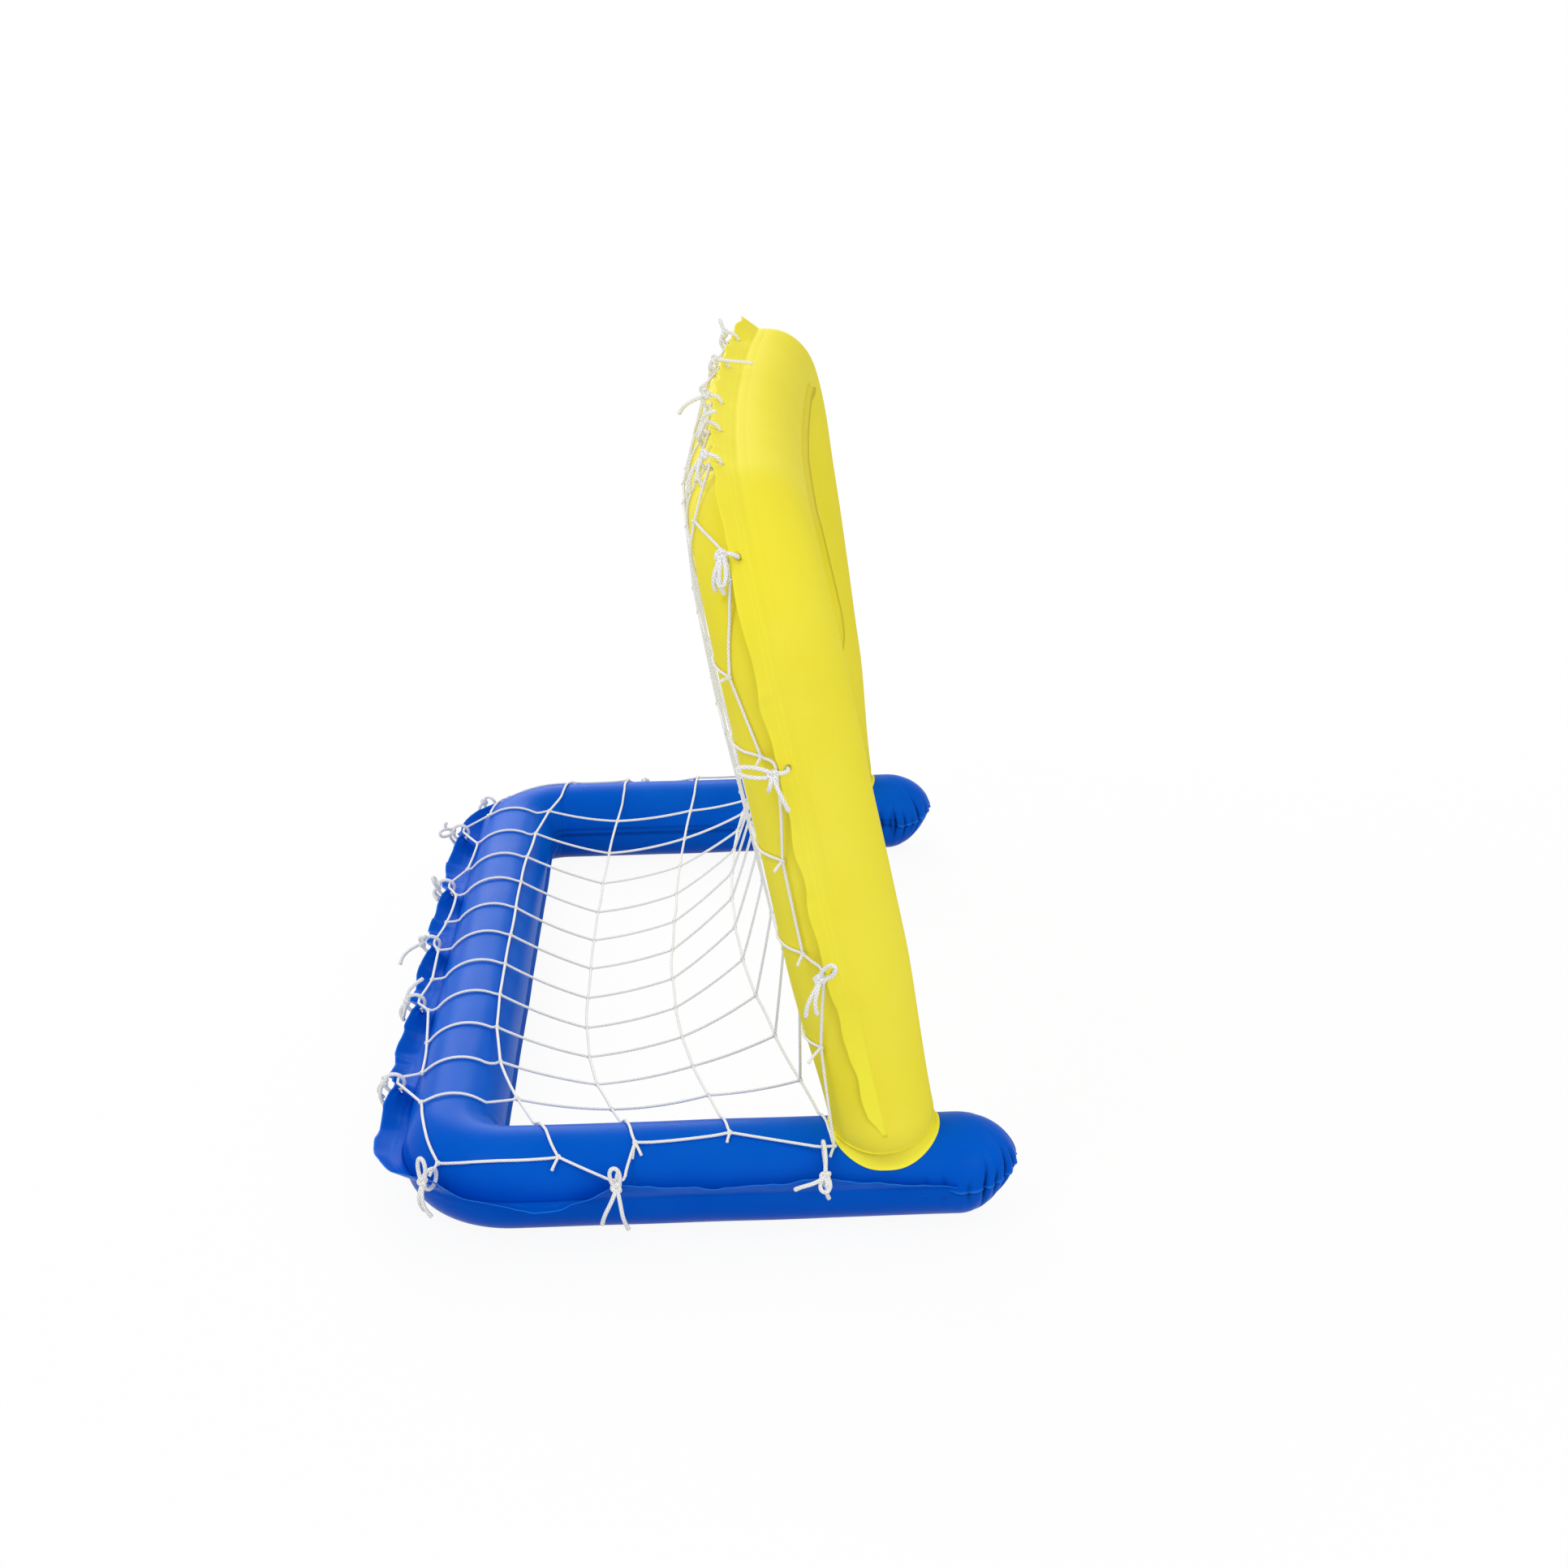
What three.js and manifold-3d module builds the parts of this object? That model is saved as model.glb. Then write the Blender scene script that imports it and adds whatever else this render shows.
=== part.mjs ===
// A floating water polo goal: an inflated U-shaped base, an inflated arch that leans back over it,
// and a knotted net that is tied to the seam flaps of both.
// Millimetres, +Z up. X runs across the goal mouth, the mouth faces -Y and the rear bar lies at +Y.
// While the pieces are made, y = 0 is the centre line of the rear bar; the last lines move the goal
// so that the origin is the middle of its footprint.

import * as THREE from 'three';
import { mergeVertices } from 'three/addons/utils/BufferGeometryUtils.js';
import Module from 'manifold-3d';

const wasm = await Module();
wasm.setup();

// Driving dimensions of the base, along the centre line of its tube
const armSpacing = 1272;
const armLength = 643;
const tipLength = 76;
const baseRadius = 64;
const baseCornerRadius = 85;

// Driving dimensions of the arch, in its own leaning plane
const footReach = 554;
const archHeight = 756;
const archTopWidth = 1213;
const archCornerRadius = 142;
const archRadius = 75;
const footRadius = 66;
const footRimRadius = 50;
const footTuck = 12;
const footShoulder = 30;
const swellHeight = 250;
const footLift = 49;
const barBow = 25;
const leanAngle = 8.9;
const leanTwist = 2;

// Common fits and wall sizes
const gap = 0.3;
const flapThickness = 1.2;
const flapSeat = 0.5;
const collarThickness = 1.5;
const overrun = 5;

// Seam flaps: widths, and how steeply the cords pull them round
const rearFlapWidth = 42;
const armFlapWidth = 35;
const tipFlapWidth = 12;
const topFlapWidth = 34;
const postFlapWidth = 30;
const lowFlapWidth = 16;
const flapRipple = 2.5;
const rippleLength = 87;
const eyeletMargin = 12;
const eyeletRadius = 5.4;

// Cords: the net's strand is square in section, a tie is a round cord
const strandWidth = 4;
const tieCordRadius = 2.5;
const tieLoopRadius = 13;
const tieKnotRadius = 7;
const bowWidth = 13;
const tailLift = 7;

// Foot collars, where the arch is welded to the arms
const collarHalfLength = 70;
const collarHalfWidth = 60.5;

// Air valves: pocket, seat, sliding stem, plug cap and inner check flap
const pocketRadius = 17;
const pocketDepth = 44;
const seatWall = 1.5;
const seatDrop = 1;
const seatHeight = 9;
const stemRadius = 6;
const stemBore = 4;
const stemDrop = 3;
const stemLength = 25;
const stopRadius = 7.8;
const stopHeight = 2;
const capRadius = 6.5;
const capThickness = 1.5;
const plugRadius = 3.2;
const plugTipRadius = 2.8;
const plugLength = 3;
const hingeReach = 8.5;
const hingeWidth = 4;
const lugHeight = 2.7;
const checkRadius = 7;
const checkThickness = 0.8;

// How finely round things are cut
const tubeSides = 20;
const arcSteps = 8;
const tipSteps = 5;
const flapStep = 40;
const cordSides = 8;
const loopSides = 5;
const loopSteps = 8;
const bowSteps = 8;
const tailSteps = 3;
const latheSteps = 14;
const holeSides = 8;
const collarSides = 28;
const mostBends = 7;

const facetShare = Math.cos(Math.PI / tubeSides);
const baseAxisHeight = baseRadius * facetShare;
const halfSpacing = armSpacing / 2;
const strandHalf = strandWidth / 2;
const up = new THREE.Vector3(0, 0, 1);

// Small vector helpers
function radians(degrees) {
  return THREE.MathUtils.degToRad(degrees);
}

function add(point, ...steps) {
  const sum = point.clone();
  for (const [direction, distance] of steps) {
    sum.addScaledVector(direction, distance);
  }
  return sum;
}

function mix(a, b, share) {
  return a + (b - a) * share;
}

// A surface under construction: a growing list of corners and triangles
function newSurface() {
  return { corners: [], faces: [] };
}

function addCorner(surface, point) {
  surface.corners.push(point);
  return surface.corners.length - 1;
}

function addQuad(surface, a, b, c, d) {
  surface.faces.push([a, b, c], [a, c, d]);
}

// Joins two rings of corner numbers with a band of quads
function addBand(surface, ringA, ringB) {
  for (let i = 0; i < ringA.length; i += 1) {
    const next = (i + 1) % ringA.length;
    addQuad(surface, ringA[i], ringA[next], ringB[next], ringB[i]);
  }
}

// Closes a ring with a fan; the last ring of a tube is closed the other way round
function addCap(surface, ring, isStart) {
  for (let i = 1; i + 1 < ring.length; i += 1) {
    surface.faces.push(isStart ? [ring[0], ring[i + 1], ring[i]] : [ring[0], ring[i], ring[i + 1]]);
  }
}

function signedVolume(surface) {
  let sum = 0;
  for (const [a, b, c] of surface.faces) {
    const [p, q, r] = [surface.corners[a], surface.corners[b], surface.corners[c]];
    sum += p.dot(q.clone().cross(r));
  }
  return sum;
}

function surfaceGeometry(surface) {
  const outward = signedVolume(surface) > 0;
  const geometry = new THREE.BufferGeometry();
  geometry.setFromPoints(surface.corners);
  geometry.setIndex(surface.faces.flatMap(([a, b, c]) => (outward ? [a, b, c] : [a, c, b])));
  return geometry;
}

// A closed skin over rings of points, with flat ends, or with a point where an end ring is one point
function tubeGeometry(rings, closedLoop = false) {
  const surface = newSurface();
  const numbered = rings.map((ring) => ring.map((point) => addCorner(surface, point)));
  for (let i = 0; i + 1 < numbered.length; i += 1) {
    addBand(surface, numbered[i], numbered[i + 1]);
  }
  if (closedLoop) {
    addBand(surface, numbered[numbered.length - 1], numbered[0]);
  } else {
    addCap(surface, numbered[0], true);
    addCap(surface, numbered[numbered.length - 1], false);
  }
  return surfaceGeometry(surface);
}

// Joins and cuts between closed solids
function toSolid(geometry) {
  const bare = geometry.clone();
  bare.deleteAttribute('normal');
  bare.deleteAttribute('uv');
  const merged = mergeVertices(bare);
  const solidMesh = new wasm.Mesh({
    numProp: 3,
    vertProperties: new Float32Array(merged.attributes.position.array),
    triVerts: new Uint32Array(merged.index.array),
  });
  return new wasm.Manifold(solidMesh);
}

function toGeometry(solid) {
  const solidMesh = solid.getMesh();
  const geometry = new THREE.BufferGeometry();
  geometry.setAttribute('position', new THREE.BufferAttribute(solidMesh.vertProperties, 3));
  geometry.setIndex(new THREE.BufferAttribute(solidMesh.triVerts, 1));
  return geometry;
}

function joined(geometries) {
  return toGeometry(geometries.map(toSolid).reduce((sum, solid) => sum.add(solid)));
}

function cut(geometry, cutters) {
  return toGeometry(cutters.map(toSolid).reduce((rest, solid) => rest.subtract(solid), toSolid(geometry)));
}

// A path of straight lines with rounded corners, as stations with a place and a direction
function roundedPath(corners, radius) {
  const stations = [];
  const addStation = (place, direction) => stations.push({ place, direction });
  let direction = corners[1].clone().sub(corners[0]).normalize();
  addStation(corners[0].clone(), direction);
  for (let i = 1; i + 1 < corners.length; i += 1) {
    const next = corners[i + 1].clone().sub(corners[i]).normalize();
    const turn = Math.acos(direction.dot(next));
    const start = corners[i].clone().addScaledVector(direction, -radius * Math.tan(turn / 2));
    const inward = new THREE.Vector2(-direction.y, direction.x);
    const centre = start.clone().addScaledVector(inward, radius);
    for (let step = 0; step <= arcSteps; step += 1) {
      const angle = (turn * step) / arcSteps;
      const place = start.clone().rotateAround(centre, angle);
      addStation(place, direction.clone().rotateAround(new THREE.Vector2(), angle));
    }
    direction = next;
  }
  addStation(corners[corners.length - 1].clone(), direction);
  return stations;
}

// Adds stations on a straight stretch at the given distances from its first station
function withStations(stations, index, distances) {
  const first = stations[index];
  const extra = distances.map((distance) => ({
    place: first.place.clone().addScaledVector(first.direction, distance),
    direction: first.direction,
  }));
  return [...stations.slice(0, index + 1), ...extra, ...stations.slice(index + 1)];
}

// Frames of a tube: centre, outward and side directions, radius, and the distance along the path,
// which is zero at the middle of the path and grows towards the near side, -X
function measured(frames) {
  let along = 0;
  frames.forEach((frame, i) => {
    if (i > 0) {
      along += frame.centre.distanceTo(frames[i - 1].centre);
    }
    frame.along = along;
  });
  frames.forEach((frame) => {
    frame.along -= along / 2;
  });
  return frames;
}

// The frame at any distance along: between two stations everything changes evenly
function frameAt(frames, along) {
  let i = 0;
  while (i + 2 < frames.length && frames[i + 1].along < along) {
    i += 1;
  }
  const [a, b] = [frames[i], frames[i + 1]];
  const share = (along - a.along) / (b.along - a.along);
  return {
    centre: a.centre.clone().lerp(b.centre, share),
    outward: a.outward.clone().lerp(b.outward, share),
    side: a.side.clone().lerp(b.side, share),
    tangent: b.centre.clone().sub(a.centre).normalize(),
    radius: mix(a.radius, b.radius, share),
    along,
  };
}

// A ring of the tube's skin; a flat of the many-sided section faces straight out, up and down
function tubeRing(frame, extra = 0, scale = 1, shift = 0) {
  const ring = [];
  const tangent = frame.tangent ?? frame.outward.clone().cross(frame.side).negate();
  for (let i = 0; i < tubeSides; i += 1) {
    const angle = (2 * Math.PI * (i + 1 / 2)) / tubeSides;
    const reach = (frame.radius + extra) * scale;
    ring.push(add(frame.centre, [frame.outward, reach * Math.cos(angle)],
      [frame.side, reach * Math.sin(angle)], [tangent, shift]));
  }
  return ring;
}

// Base: two arms joined by the rear bar, lying flat, with tips rounded like an egg's end
function baseFrames() {
  const corners = [
    new THREE.Vector2(halfSpacing, -armLength),
    new THREE.Vector2(halfSpacing, 0),
    new THREE.Vector2(-halfSpacing, 0),
    new THREE.Vector2(-halfSpacing, -armLength),
  ];
  const frames = roundedPath(corners, baseCornerRadius).map(({ place, direction }) => ({
    centre: new THREE.Vector3(place.x, place.y, baseAxisHeight),
    outward: new THREE.Vector3(direction.y, -direction.x, 0),
    side: up.clone(),
    radius: baseRadius,
  }));
  return measured(frames);
}

function domeRings(frame, sign, extra) {
  const rings = [];
  for (let step = 1; step < tipSteps; step += 1) {
    const angle = (Math.PI / 2) * (step / tipSteps);
    const shift = sign * (tipLength + extra) * Math.sin(angle);
    rings.push(tubeRing(frame, extra, Math.cos(angle), shift));
  }
  return rings;
}

function baseSolid(frames, extra = 0) {
  const last = frames.length - 1;
  return tubeGeometry([
    ...domeRings(frames[0], -1, extra).reverse(),
    ...frames.map((frame) => tubeRing(frame, extra)),
    ...domeRings(frames[last], 1, extra),
  ]);
}

// Arch: a path in its plane (x across, y up the plane), then leaned back, a little more on the near
// side, with the top bar bowed backwards in the middle
function leanAt(x) {
  return radians(leanAngle - (leanTwist * x) / halfSpacing);
}

function archPoint(x, height) {
  const lean = leanAt(x);
  const bow = barBow * (1 - (x / halfSpacing) ** 2) * (height / archHeight) ** 2;
  return new THREE.Vector3(
    x,
    -footReach + height * Math.sin(lean) + bow,
    baseAxisHeight + footLift + height * Math.cos(lean),
  );
}

function archRadiusAt(height) {
  if (height < footShoulder) {
    const share = (footShoulder - height) / (footShoulder + footTuck);
    return footRimRadius + (footRadius - footRimRadius) * Math.sqrt(Math.max(0, 1 - share ** 2));
  }
  return mix(footRadius, archRadius, Math.min(1, (height - footShoulder) / (swellHeight - footShoulder)));
}

function archFrames() {
  const spread = (armSpacing - archTopWidth) / 2;
  const footX = halfSpacing + (spread * footTuck) / archHeight;
  const corners = [
    new THREE.Vector2(footX, -footTuck),
    new THREE.Vector2(archTopWidth / 2, archHeight),
    new THREE.Vector2(-archTopWidth / 2, archHeight),
    new THREE.Vector2(-footX, -footTuck),
  ];
  const footDistances = [1, 2, 3].map((step) => {
    const angle = (Math.PI / 2) * (step / 3);
    return (footShoulder + footTuck) * (1 - Math.cos(angle));
  });
  const postDistances = [...footDistances, swellHeight];
  let path = roundedPath(corners, archCornerRadius);
  const postLength = path[0].place.distanceTo(path[1].place);
  const barIndex = arcSteps + 1;
  const barLength = path[barIndex].place.distanceTo(path[barIndex + 1].place);
  const lastPost = path.length - 2;
  path = withStations(path, lastPost, postDistances.map((distance) => postLength - distance).reverse());
  path = withStations(path, barIndex, [1, 2, 3].map((step) => (barLength * step) / 4));
  path = withStations(path, 0, postDistances);
  const frames = path.map(({ place, direction }) => {
    const lean = leanAt(place.x);
    const upPlane = new THREE.Vector3(0, Math.sin(lean), Math.cos(lean));
    return {
      centre: archPoint(place.x, place.y),
      outward: new THREE.Vector3(direction.y, 0, 0).addScaledVector(upPlane, -direction.x),
      side: new THREE.Vector3(0, Math.cos(lean), -Math.sin(lean)),
      radius: archRadiusAt(place.y),
      height: place.y,
    };
  });
  return measured(frames);
}

function archSolid(frames, extra = 0) {
  return tubeGeometry(frames.map((frame) => tubeRing(frame, extra)));
}

const base = baseFrames();
const arch = archFrames();

// Distances along a tube: where its centre line reaches a given place on one side
function alongWhere(frames, axis, value, sign) {
  for (let i = 0; i + 1 < frames.length; i += 1) {
    const [a, b] = [frames[i], frames[i + 1]];
    const onSide = Math.sign(a.along + b.along) === sign;
    if (onSide && (a.centre[axis] - value) * (b.centre[axis] - value) <= 0 && a.centre[axis] !== b.centre[axis]) {
      return mix(a.along, b.along, (value - a.centre[axis]) / (b.centre[axis] - a.centre[axis]));
    }
  }
  return frames[0].along;
}

const rearStraight = halfSpacing - baseCornerRadius;
const onRear = (share) => share * halfSpacing;
const onCorner = (share, sign) => {
  const arcEnd = alongWhere(base, 'y', -baseCornerRadius, sign);
  return mix(sign * rearStraight, arcEnd, share);
};
const onArm = (share, sign) => alongWhere(base, 'y', -share * armLength, sign);
const behindPost = (share, sign) => alongWhere(base, 'y', -share * footReach, sign);
const onBar = (share) => (share * archTopWidth) / 2;
const onPost = (share, sign) => {
  const lean = leanAt(-sign * halfSpacing);
  const z = baseAxisHeight + footLift + share * archHeight * Math.cos(lean);
  return alongWhere(arch, 'z', z, sign);
};
const onArchCorner = (share, sign) => {
  const postEnd = onPost(1 - archCornerRadius / archHeight, sign);
  return mix((sign * archTopWidth) / 2 - sign * archCornerRadius, postEnd, share);
};

// Seam flaps. Each row is a place along the tube, the tilt of the flap there, its width, and how many
// degrees it sags before the next row. A tilt of zero stands straight out from the tube.
const baseFlapRows = [
  [onArm(0.97, -1), 40, tipFlapWidth, 0],
  [onArm(0.83, -1), 50, (armFlapWidth + tipFlapWidth) / 2, 0],
  [behindPost(0.729, -1), 58, armFlapWidth, 14],
  [behindPost(0.394, -1), 58, armFlapWidth, 50],
  [onCorner(0.4, -1), 56, armFlapWidth, 24],
  [onRear(-0.786), 56, rearFlapWidth, 46],
  [onRear(-0.4), 56, rearFlapWidth, 42],
  [onRear(-0.045), 56, rearFlapWidth, 46],
  [onRear(0.285), 56, rearFlapWidth, 44],
  [onRear(0.68), 56, rearFlapWidth, 46],
  [onCorner(0.6, 1), 56, armFlapWidth, 50],
  [behindPost(0.394, 1), 58, armFlapWidth, 14],
  [behindPost(0.856, 1), 58, armFlapWidth, 0],
  [onArm(0.83, 1), 50, (armFlapWidth + tipFlapWidth) / 2, 0],
  [onArm(0.97, 1), 40, tipFlapWidth, 0],
];
const archFlapRows = [
  [onPost(0.07, -1), 76, lowFlapWidth, 0],
  [onPost(0.2, -1), 74, (postFlapWidth + lowFlapWidth) / 2, 0],
  [onPost(0.29, -1), 65, postFlapWidth, -12],
  [onPost(0.655, -1), 65, postFlapWidth, -12],
  [onArchCorner(0.5, -1), 65, topFlapWidth, 22],
  [onBar(-0.577), 65, topFlapWidth, 12],
  [onBar(-0.214), 65, topFlapWidth, 8],
  [onBar(0.206), 65, topFlapWidth, 6],
  [onBar(0.495), 65, topFlapWidth, 6],
  [onBar(0.79), 65, topFlapWidth, 8],
  [onArchCorner(0.55, 1), 65, topFlapWidth, -12],
  [onPost(0.685, 1), 65, postFlapWidth, -12],
  [onPost(0.34, 1), 65, postFlapWidth, 0],
  [onPost(0.2, 1), 74, (postFlapWidth + lowFlapWidth) / 2, 0],
  [onPost(0.07, 1), 76, lowFlapWidth, 0],
];

// The flap's root, direction, normal and width at a distance along its tube
function flapAt(frames, rows, along) {
  const frame = frameAt(frames, along);
  let i = 0;
  while (i + 2 < rows.length && rows[i + 1][0] < along) {
    i += 1;
  }
  const [startAlong, startTilt, startWidth, sag] = rows[i];
  const [endAlong, endTilt, endWidth] = rows[i + 1];
  const share = THREE.MathUtils.clamp((along - startAlong) / (endAlong - startAlong), 0, 1);
  const tilt = radians(mix(startTilt, endTilt, share) - sag * Math.sin(Math.PI * share));
  const ripple = flapRipple * Math.sin((2 * Math.PI * along) / rippleLength) * Math.sin(Math.PI * share);
  const direction = add(new THREE.Vector3(), [frame.outward, Math.cos(tilt)], [frame.side, Math.sin(tilt)]);
  const normal = add(new THREE.Vector3(), [frame.outward, -Math.sin(tilt)], [frame.side, Math.cos(tilt)]);
  const standoff = frame.radius * facetShare + flapSeat + (flapThickness / 2) * Math.abs(Math.sin(tilt));
  const root = add(frame.centre, [frame.outward, standoff]);
  return { root, direction, normal, width: mix(startWidth, endWidth, share) + ripple, tangent: frame.tangent };
}

// A strip of four-cornered rings. Both of its broad faces are split from the root to the next ring's
// edge, so that they stay parallel where the flap twists.
function flapSurface(rings) {
  const surface = newSurface();
  const corners = rings.map((ring) => ring.map((point) => addCorner(surface, point)));
  for (let i = 0; i + 1 < corners.length; i += 1) {
    const [a, b] = [corners[i], corners[i + 1]];
    addQuad(surface, a[0], a[1], b[1], b[0]);
    addQuad(surface, a[1], a[2], b[2], b[1]);
    addQuad(surface, a[3], b[3], b[2], a[2]);
    addQuad(surface, a[3], a[0], b[0], b[3]);
  }
  addCap(surface, corners[0], true);
  addCap(surface, corners[corners.length - 1], false);
  return surfaceGeometry(surface);
}

function flapGeometry(frames, rows, from, to) {
  const stops = new Set([from, to]);
  const marks = [...frames.map((frame) => frame.along), ...rows.map((row) => row[0])];
  marks.filter((mark) => mark > from + overrun && mark < to - overrun).forEach((mark) => stops.add(mark));
  const sorted = [...stops].sort((a, b) => a - b);
  const places = [sorted[0]];
  for (let i = 1; i < sorted.length; i += 1) {
    const count = Math.max(1, Math.round((sorted[i] - sorted[i - 1]) / flapStep));
    for (let step = 1; step <= count; step += 1) {
      places.push(mix(sorted[i - 1], sorted[i], step / count));
    }
  }
  const rings = places.map((along) => {
    const { root, direction, normal, width } = flapAt(frames, rows, along);
    const half = flapThickness / 2;
    return [
      add(root, [normal, -half]),
      add(root, [normal, -half], [direction, width]),
      add(root, [normal, half], [direction, width]),
      add(root, [normal, half]),
    ];
  });
  return flapSurface(rings);
}

// A tie's loop, its knot and the net's border inside it, each as a distance from the eyelet along the
// flap and a distance along the flap's normal, towards the tube. Most loops are round. The two foot
// ties are long and reach over the flap's edge to the net on top of the arm.
const borderOffset = tieLoopRadius * Math.cos(Math.PI / loopSteps) - tieCordRadius - strandHalf * Math.SQRT2 - gap;
const aroundLoop = (step) => {
  const angle = (2 * Math.PI * step) / loopSteps;
  return [tieLoopRadius * (1 + Math.cos(angle)), tieLoopRadius * Math.sin(angle)];
};
const roundLoop = {
  path: Array.from({ length: loopSteps }, (_, step) => aroundLoop(step)),
  knot: aroundLoop(-1),
  border: [tieLoopRadius, borderOffset],
};
const footLoop = {
  path: [[-2, 1.5], [-0.5, 14], [5.5, 29], [10.5, 43.5], [16, 48.8], [22, 42], [17.5, 18], [15.6, 0.5],
    [11, -4.8], [2.5, -5], [-2, -2]],
  knot: [21, -3],
  border: [16, 41.8],
};

// Ties. Each is a cord looped through an eyelet of the flap and round the net's border, knotted
// outside. Its row holds the place along the tube, then its tails and bows: how far each is turned
// from straight down, and its length. Tails and bows lie in the upright plane that faces outwards.
const tieRows = {
  tie_far_foot: [base, baseFlapRows, behindPost(0.729, -1), [[-20, 46], [24, 40]], [], footLoop],
  tie_far_arm: [base, baseFlapRows, behindPost(0.394, -1), [[-14, 48], [18, 52]], []],
  tie_far_corner: [base, baseFlapRows, onCorner(0.4, -1), [[-30, 40], [30, 36]], []],
  tie_rear_1: [base, baseFlapRows, onRear(-0.786), [[-35, 36], [-75, 30]], []],
  tie_rear_2: [base, baseFlapRows, onRear(-0.4), [[-25, 34], [40, 30]], [[80, 20]]],
  tie_rear_3: [base, baseFlapRows, onRear(-0.045), [[-62, 44], [30, 30]], []],
  tie_rear_4: [base, baseFlapRows, onRear(0.285), [[35, 34], [20, 42]], [[-150, 24]]],
  tie_rear_5: [base, baseFlapRows, onRear(0.68), [[12, 40], [-22, 34]], []],
  tie_near_corner: [base, baseFlapRows, onCorner(0.6, 1), [[10, 46], [-12, 38]], [[180, 30]]],
  tie_near_arm: [base, baseFlapRows, behindPost(0.394, 1), [[-22, 50], [10, 54]], [[-170, 26]]],
  tie_near_foot: [base, baseFlapRows, behindPost(0.856, 1), [[-70, 34], [4, 30]], [], footLoop],
  tie_far_post_3: [arch, archFlapRows, onPost(0.29, -1), [[-16, 46], [14, 50]], []],
  tie_far_post_2: [arch, archFlapRows, onPost(0.655, -1), [[-20, 40], [16, 48]], []],
  tie_far_post_1: [arch, archFlapRows, onArchCorner(0.5, -1), [[-34, 30], [20, 30]], []],
  tie_top_1: [arch, archFlapRows, onBar(-0.577), [[-30, 34], [4, 30]], []],
  tie_top_2: [arch, archFlapRows, onBar(-0.214), [[40, 36], [-18, 32]], []],
  tie_top_3: [arch, archFlapRows, onBar(0.206), [[-14, 34], [16, 30]], []],
  tie_top_4: [arch, archFlapRows, onBar(0.495), [[-16, 34], [8, 34]], []],
  tie_top_5: [arch, archFlapRows, onBar(0.79), [[-14, 32], [8, 28]], []],
  tie_near_post_1: [arch, archFlapRows, onArchCorner(0.55, 1), [[-4, 40], [16, 42]], []],
  tie_near_post_2: [arch, archFlapRows, onPost(0.685, 1), [[24, 46], [-8, 24]], [[-105, 34]]],
  tie_near_post_3: [arch, archFlapRows, onPost(0.34, 1), [[-20, 48], [-4, 44]], [[140, 28]]],
};

function tieFrame([frames, flapRows, along, , , loop = roundLoop]) {
  const flap = flapAt(frames, flapRows, along);
  const eyelet = add(flap.root, [flap.direction, flap.width - eyeletMargin]);
  const inLoop = ([outwards, inwards]) => add(eyelet, [flap.direction, outwards], [flap.normal, inwards]);
  return { ...flap, eyelet, loop, inLoop };
}

function borderPoint(row) {
  const { loop, inLoop } = tieFrame(row);
  return inLoop(loop.border);
}

// Rings of a round cord along a list of points; it can swell to a knot at one of them
function cordRings(points, sideCount, closedLoop = false, knotIndex = -1) {
  const count = points.length;
  const directions = points.map((point, i) => {
    const before = points[closedLoop ? (i + count - 1) % count : Math.max(0, i - 1)];
    const after = points[closedLoop ? (i + 1) % count : Math.min(count - 1, i + 1)];
    return after.clone().sub(before).normalize();
  });
  let across = new THREE.Vector3(1, 0, 0);
  if (Math.abs(directions[0].x) > 1 / 2) {
    across = up.clone();
  }
  return points.map((point, i) => {
    across.addScaledVector(directions[i], -across.dot(directions[i])).normalize();
    const third = directions[i].clone().cross(across);
    const radius = i === knotIndex ? tieKnotRadius : tieCordRadius;
    const ring = [];
    for (let j = 0; j < sideCount; j += 1) {
      const angle = (2 * Math.PI * j) / sideCount;
      ring.push(add(point, [across, radius * Math.cos(angle)], [third, radius * Math.sin(angle)]));
    }
    return ring;
  });
}

function tieGeometry(row) {
  const { direction, normal, tangent, loop, inLoop } = tieFrame(row);
  const loopPoints = loop.path.map(inLoop);
  const loopRings = loopPoints.map((point, i) => {
    const before = loopPoints[(i + loopPoints.length - 1) % loopPoints.length];
    const after = loopPoints[(i + 1) % loopPoints.length];
    const spoke = after.clone().sub(before).cross(tangent).normalize();
    const ring = [];
    for (let j = 0; j < loopSides; j += 1) {
      const turn = (2 * Math.PI * j) / loopSides;
      ring.push(add(point, [spoke, tieCordRadius * Math.cos(turn)], [tangent, tieCordRadius * Math.sin(turn)]));
    }
    return ring;
  });
  const knotCentre = inLoop(loop.knot);

  const away = add(direction.clone(), [normal, -1]);
  away.z = 0;
  away.normalize();
  const sideways = up.clone().cross(away);
  const heading = (turn) => add(new THREE.Vector3(), [up, -Math.cos(turn)], [sideways, Math.sin(turn)]);
  const [, , , tails, bows] = row;
  const [firstTail, secondTail] = tails.map(([turnDegrees, length]) => {
    const course = heading(radians(turnDegrees));
    const points = [];
    for (let step = 1; step <= tailSteps; step += 1) {
      const share = step / tailSteps;
      points.push(add(knotCentre, [course, length * share], [away, tailLift * Math.sin(Math.PI * share)]));
    }
    return points;
  });
  const tailPoints = [...firstTail.reverse(), knotCentre, ...secondTail];
  const tailSolid = tubeGeometry(cordRings(tailPoints, cordSides, false, tailSteps));
  const bowSolids = bows.map(([turnDegrees, length]) => {
    const course = heading(radians(turnDegrees));
    const across = course.clone().cross(away);
    const points = [];
    for (let step = 0; step < bowSteps; step += 1) {
      const angle = (2 * Math.PI * step) / bowSteps;
      points.push(add(knotCentre, [course, (length / 2) * (1 - Math.cos(angle))],
        [across, (bowWidth / 2) * Math.sin(angle)], [away, (tailLift / 2) * (1 - Math.cos(angle))]));
    }
    return tubeGeometry(cordRings(points, loopSides, true), true);
  });
  return joined([tubeGeometry(loopRings, true), tailSolid, ...bowSolids]);
}

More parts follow.
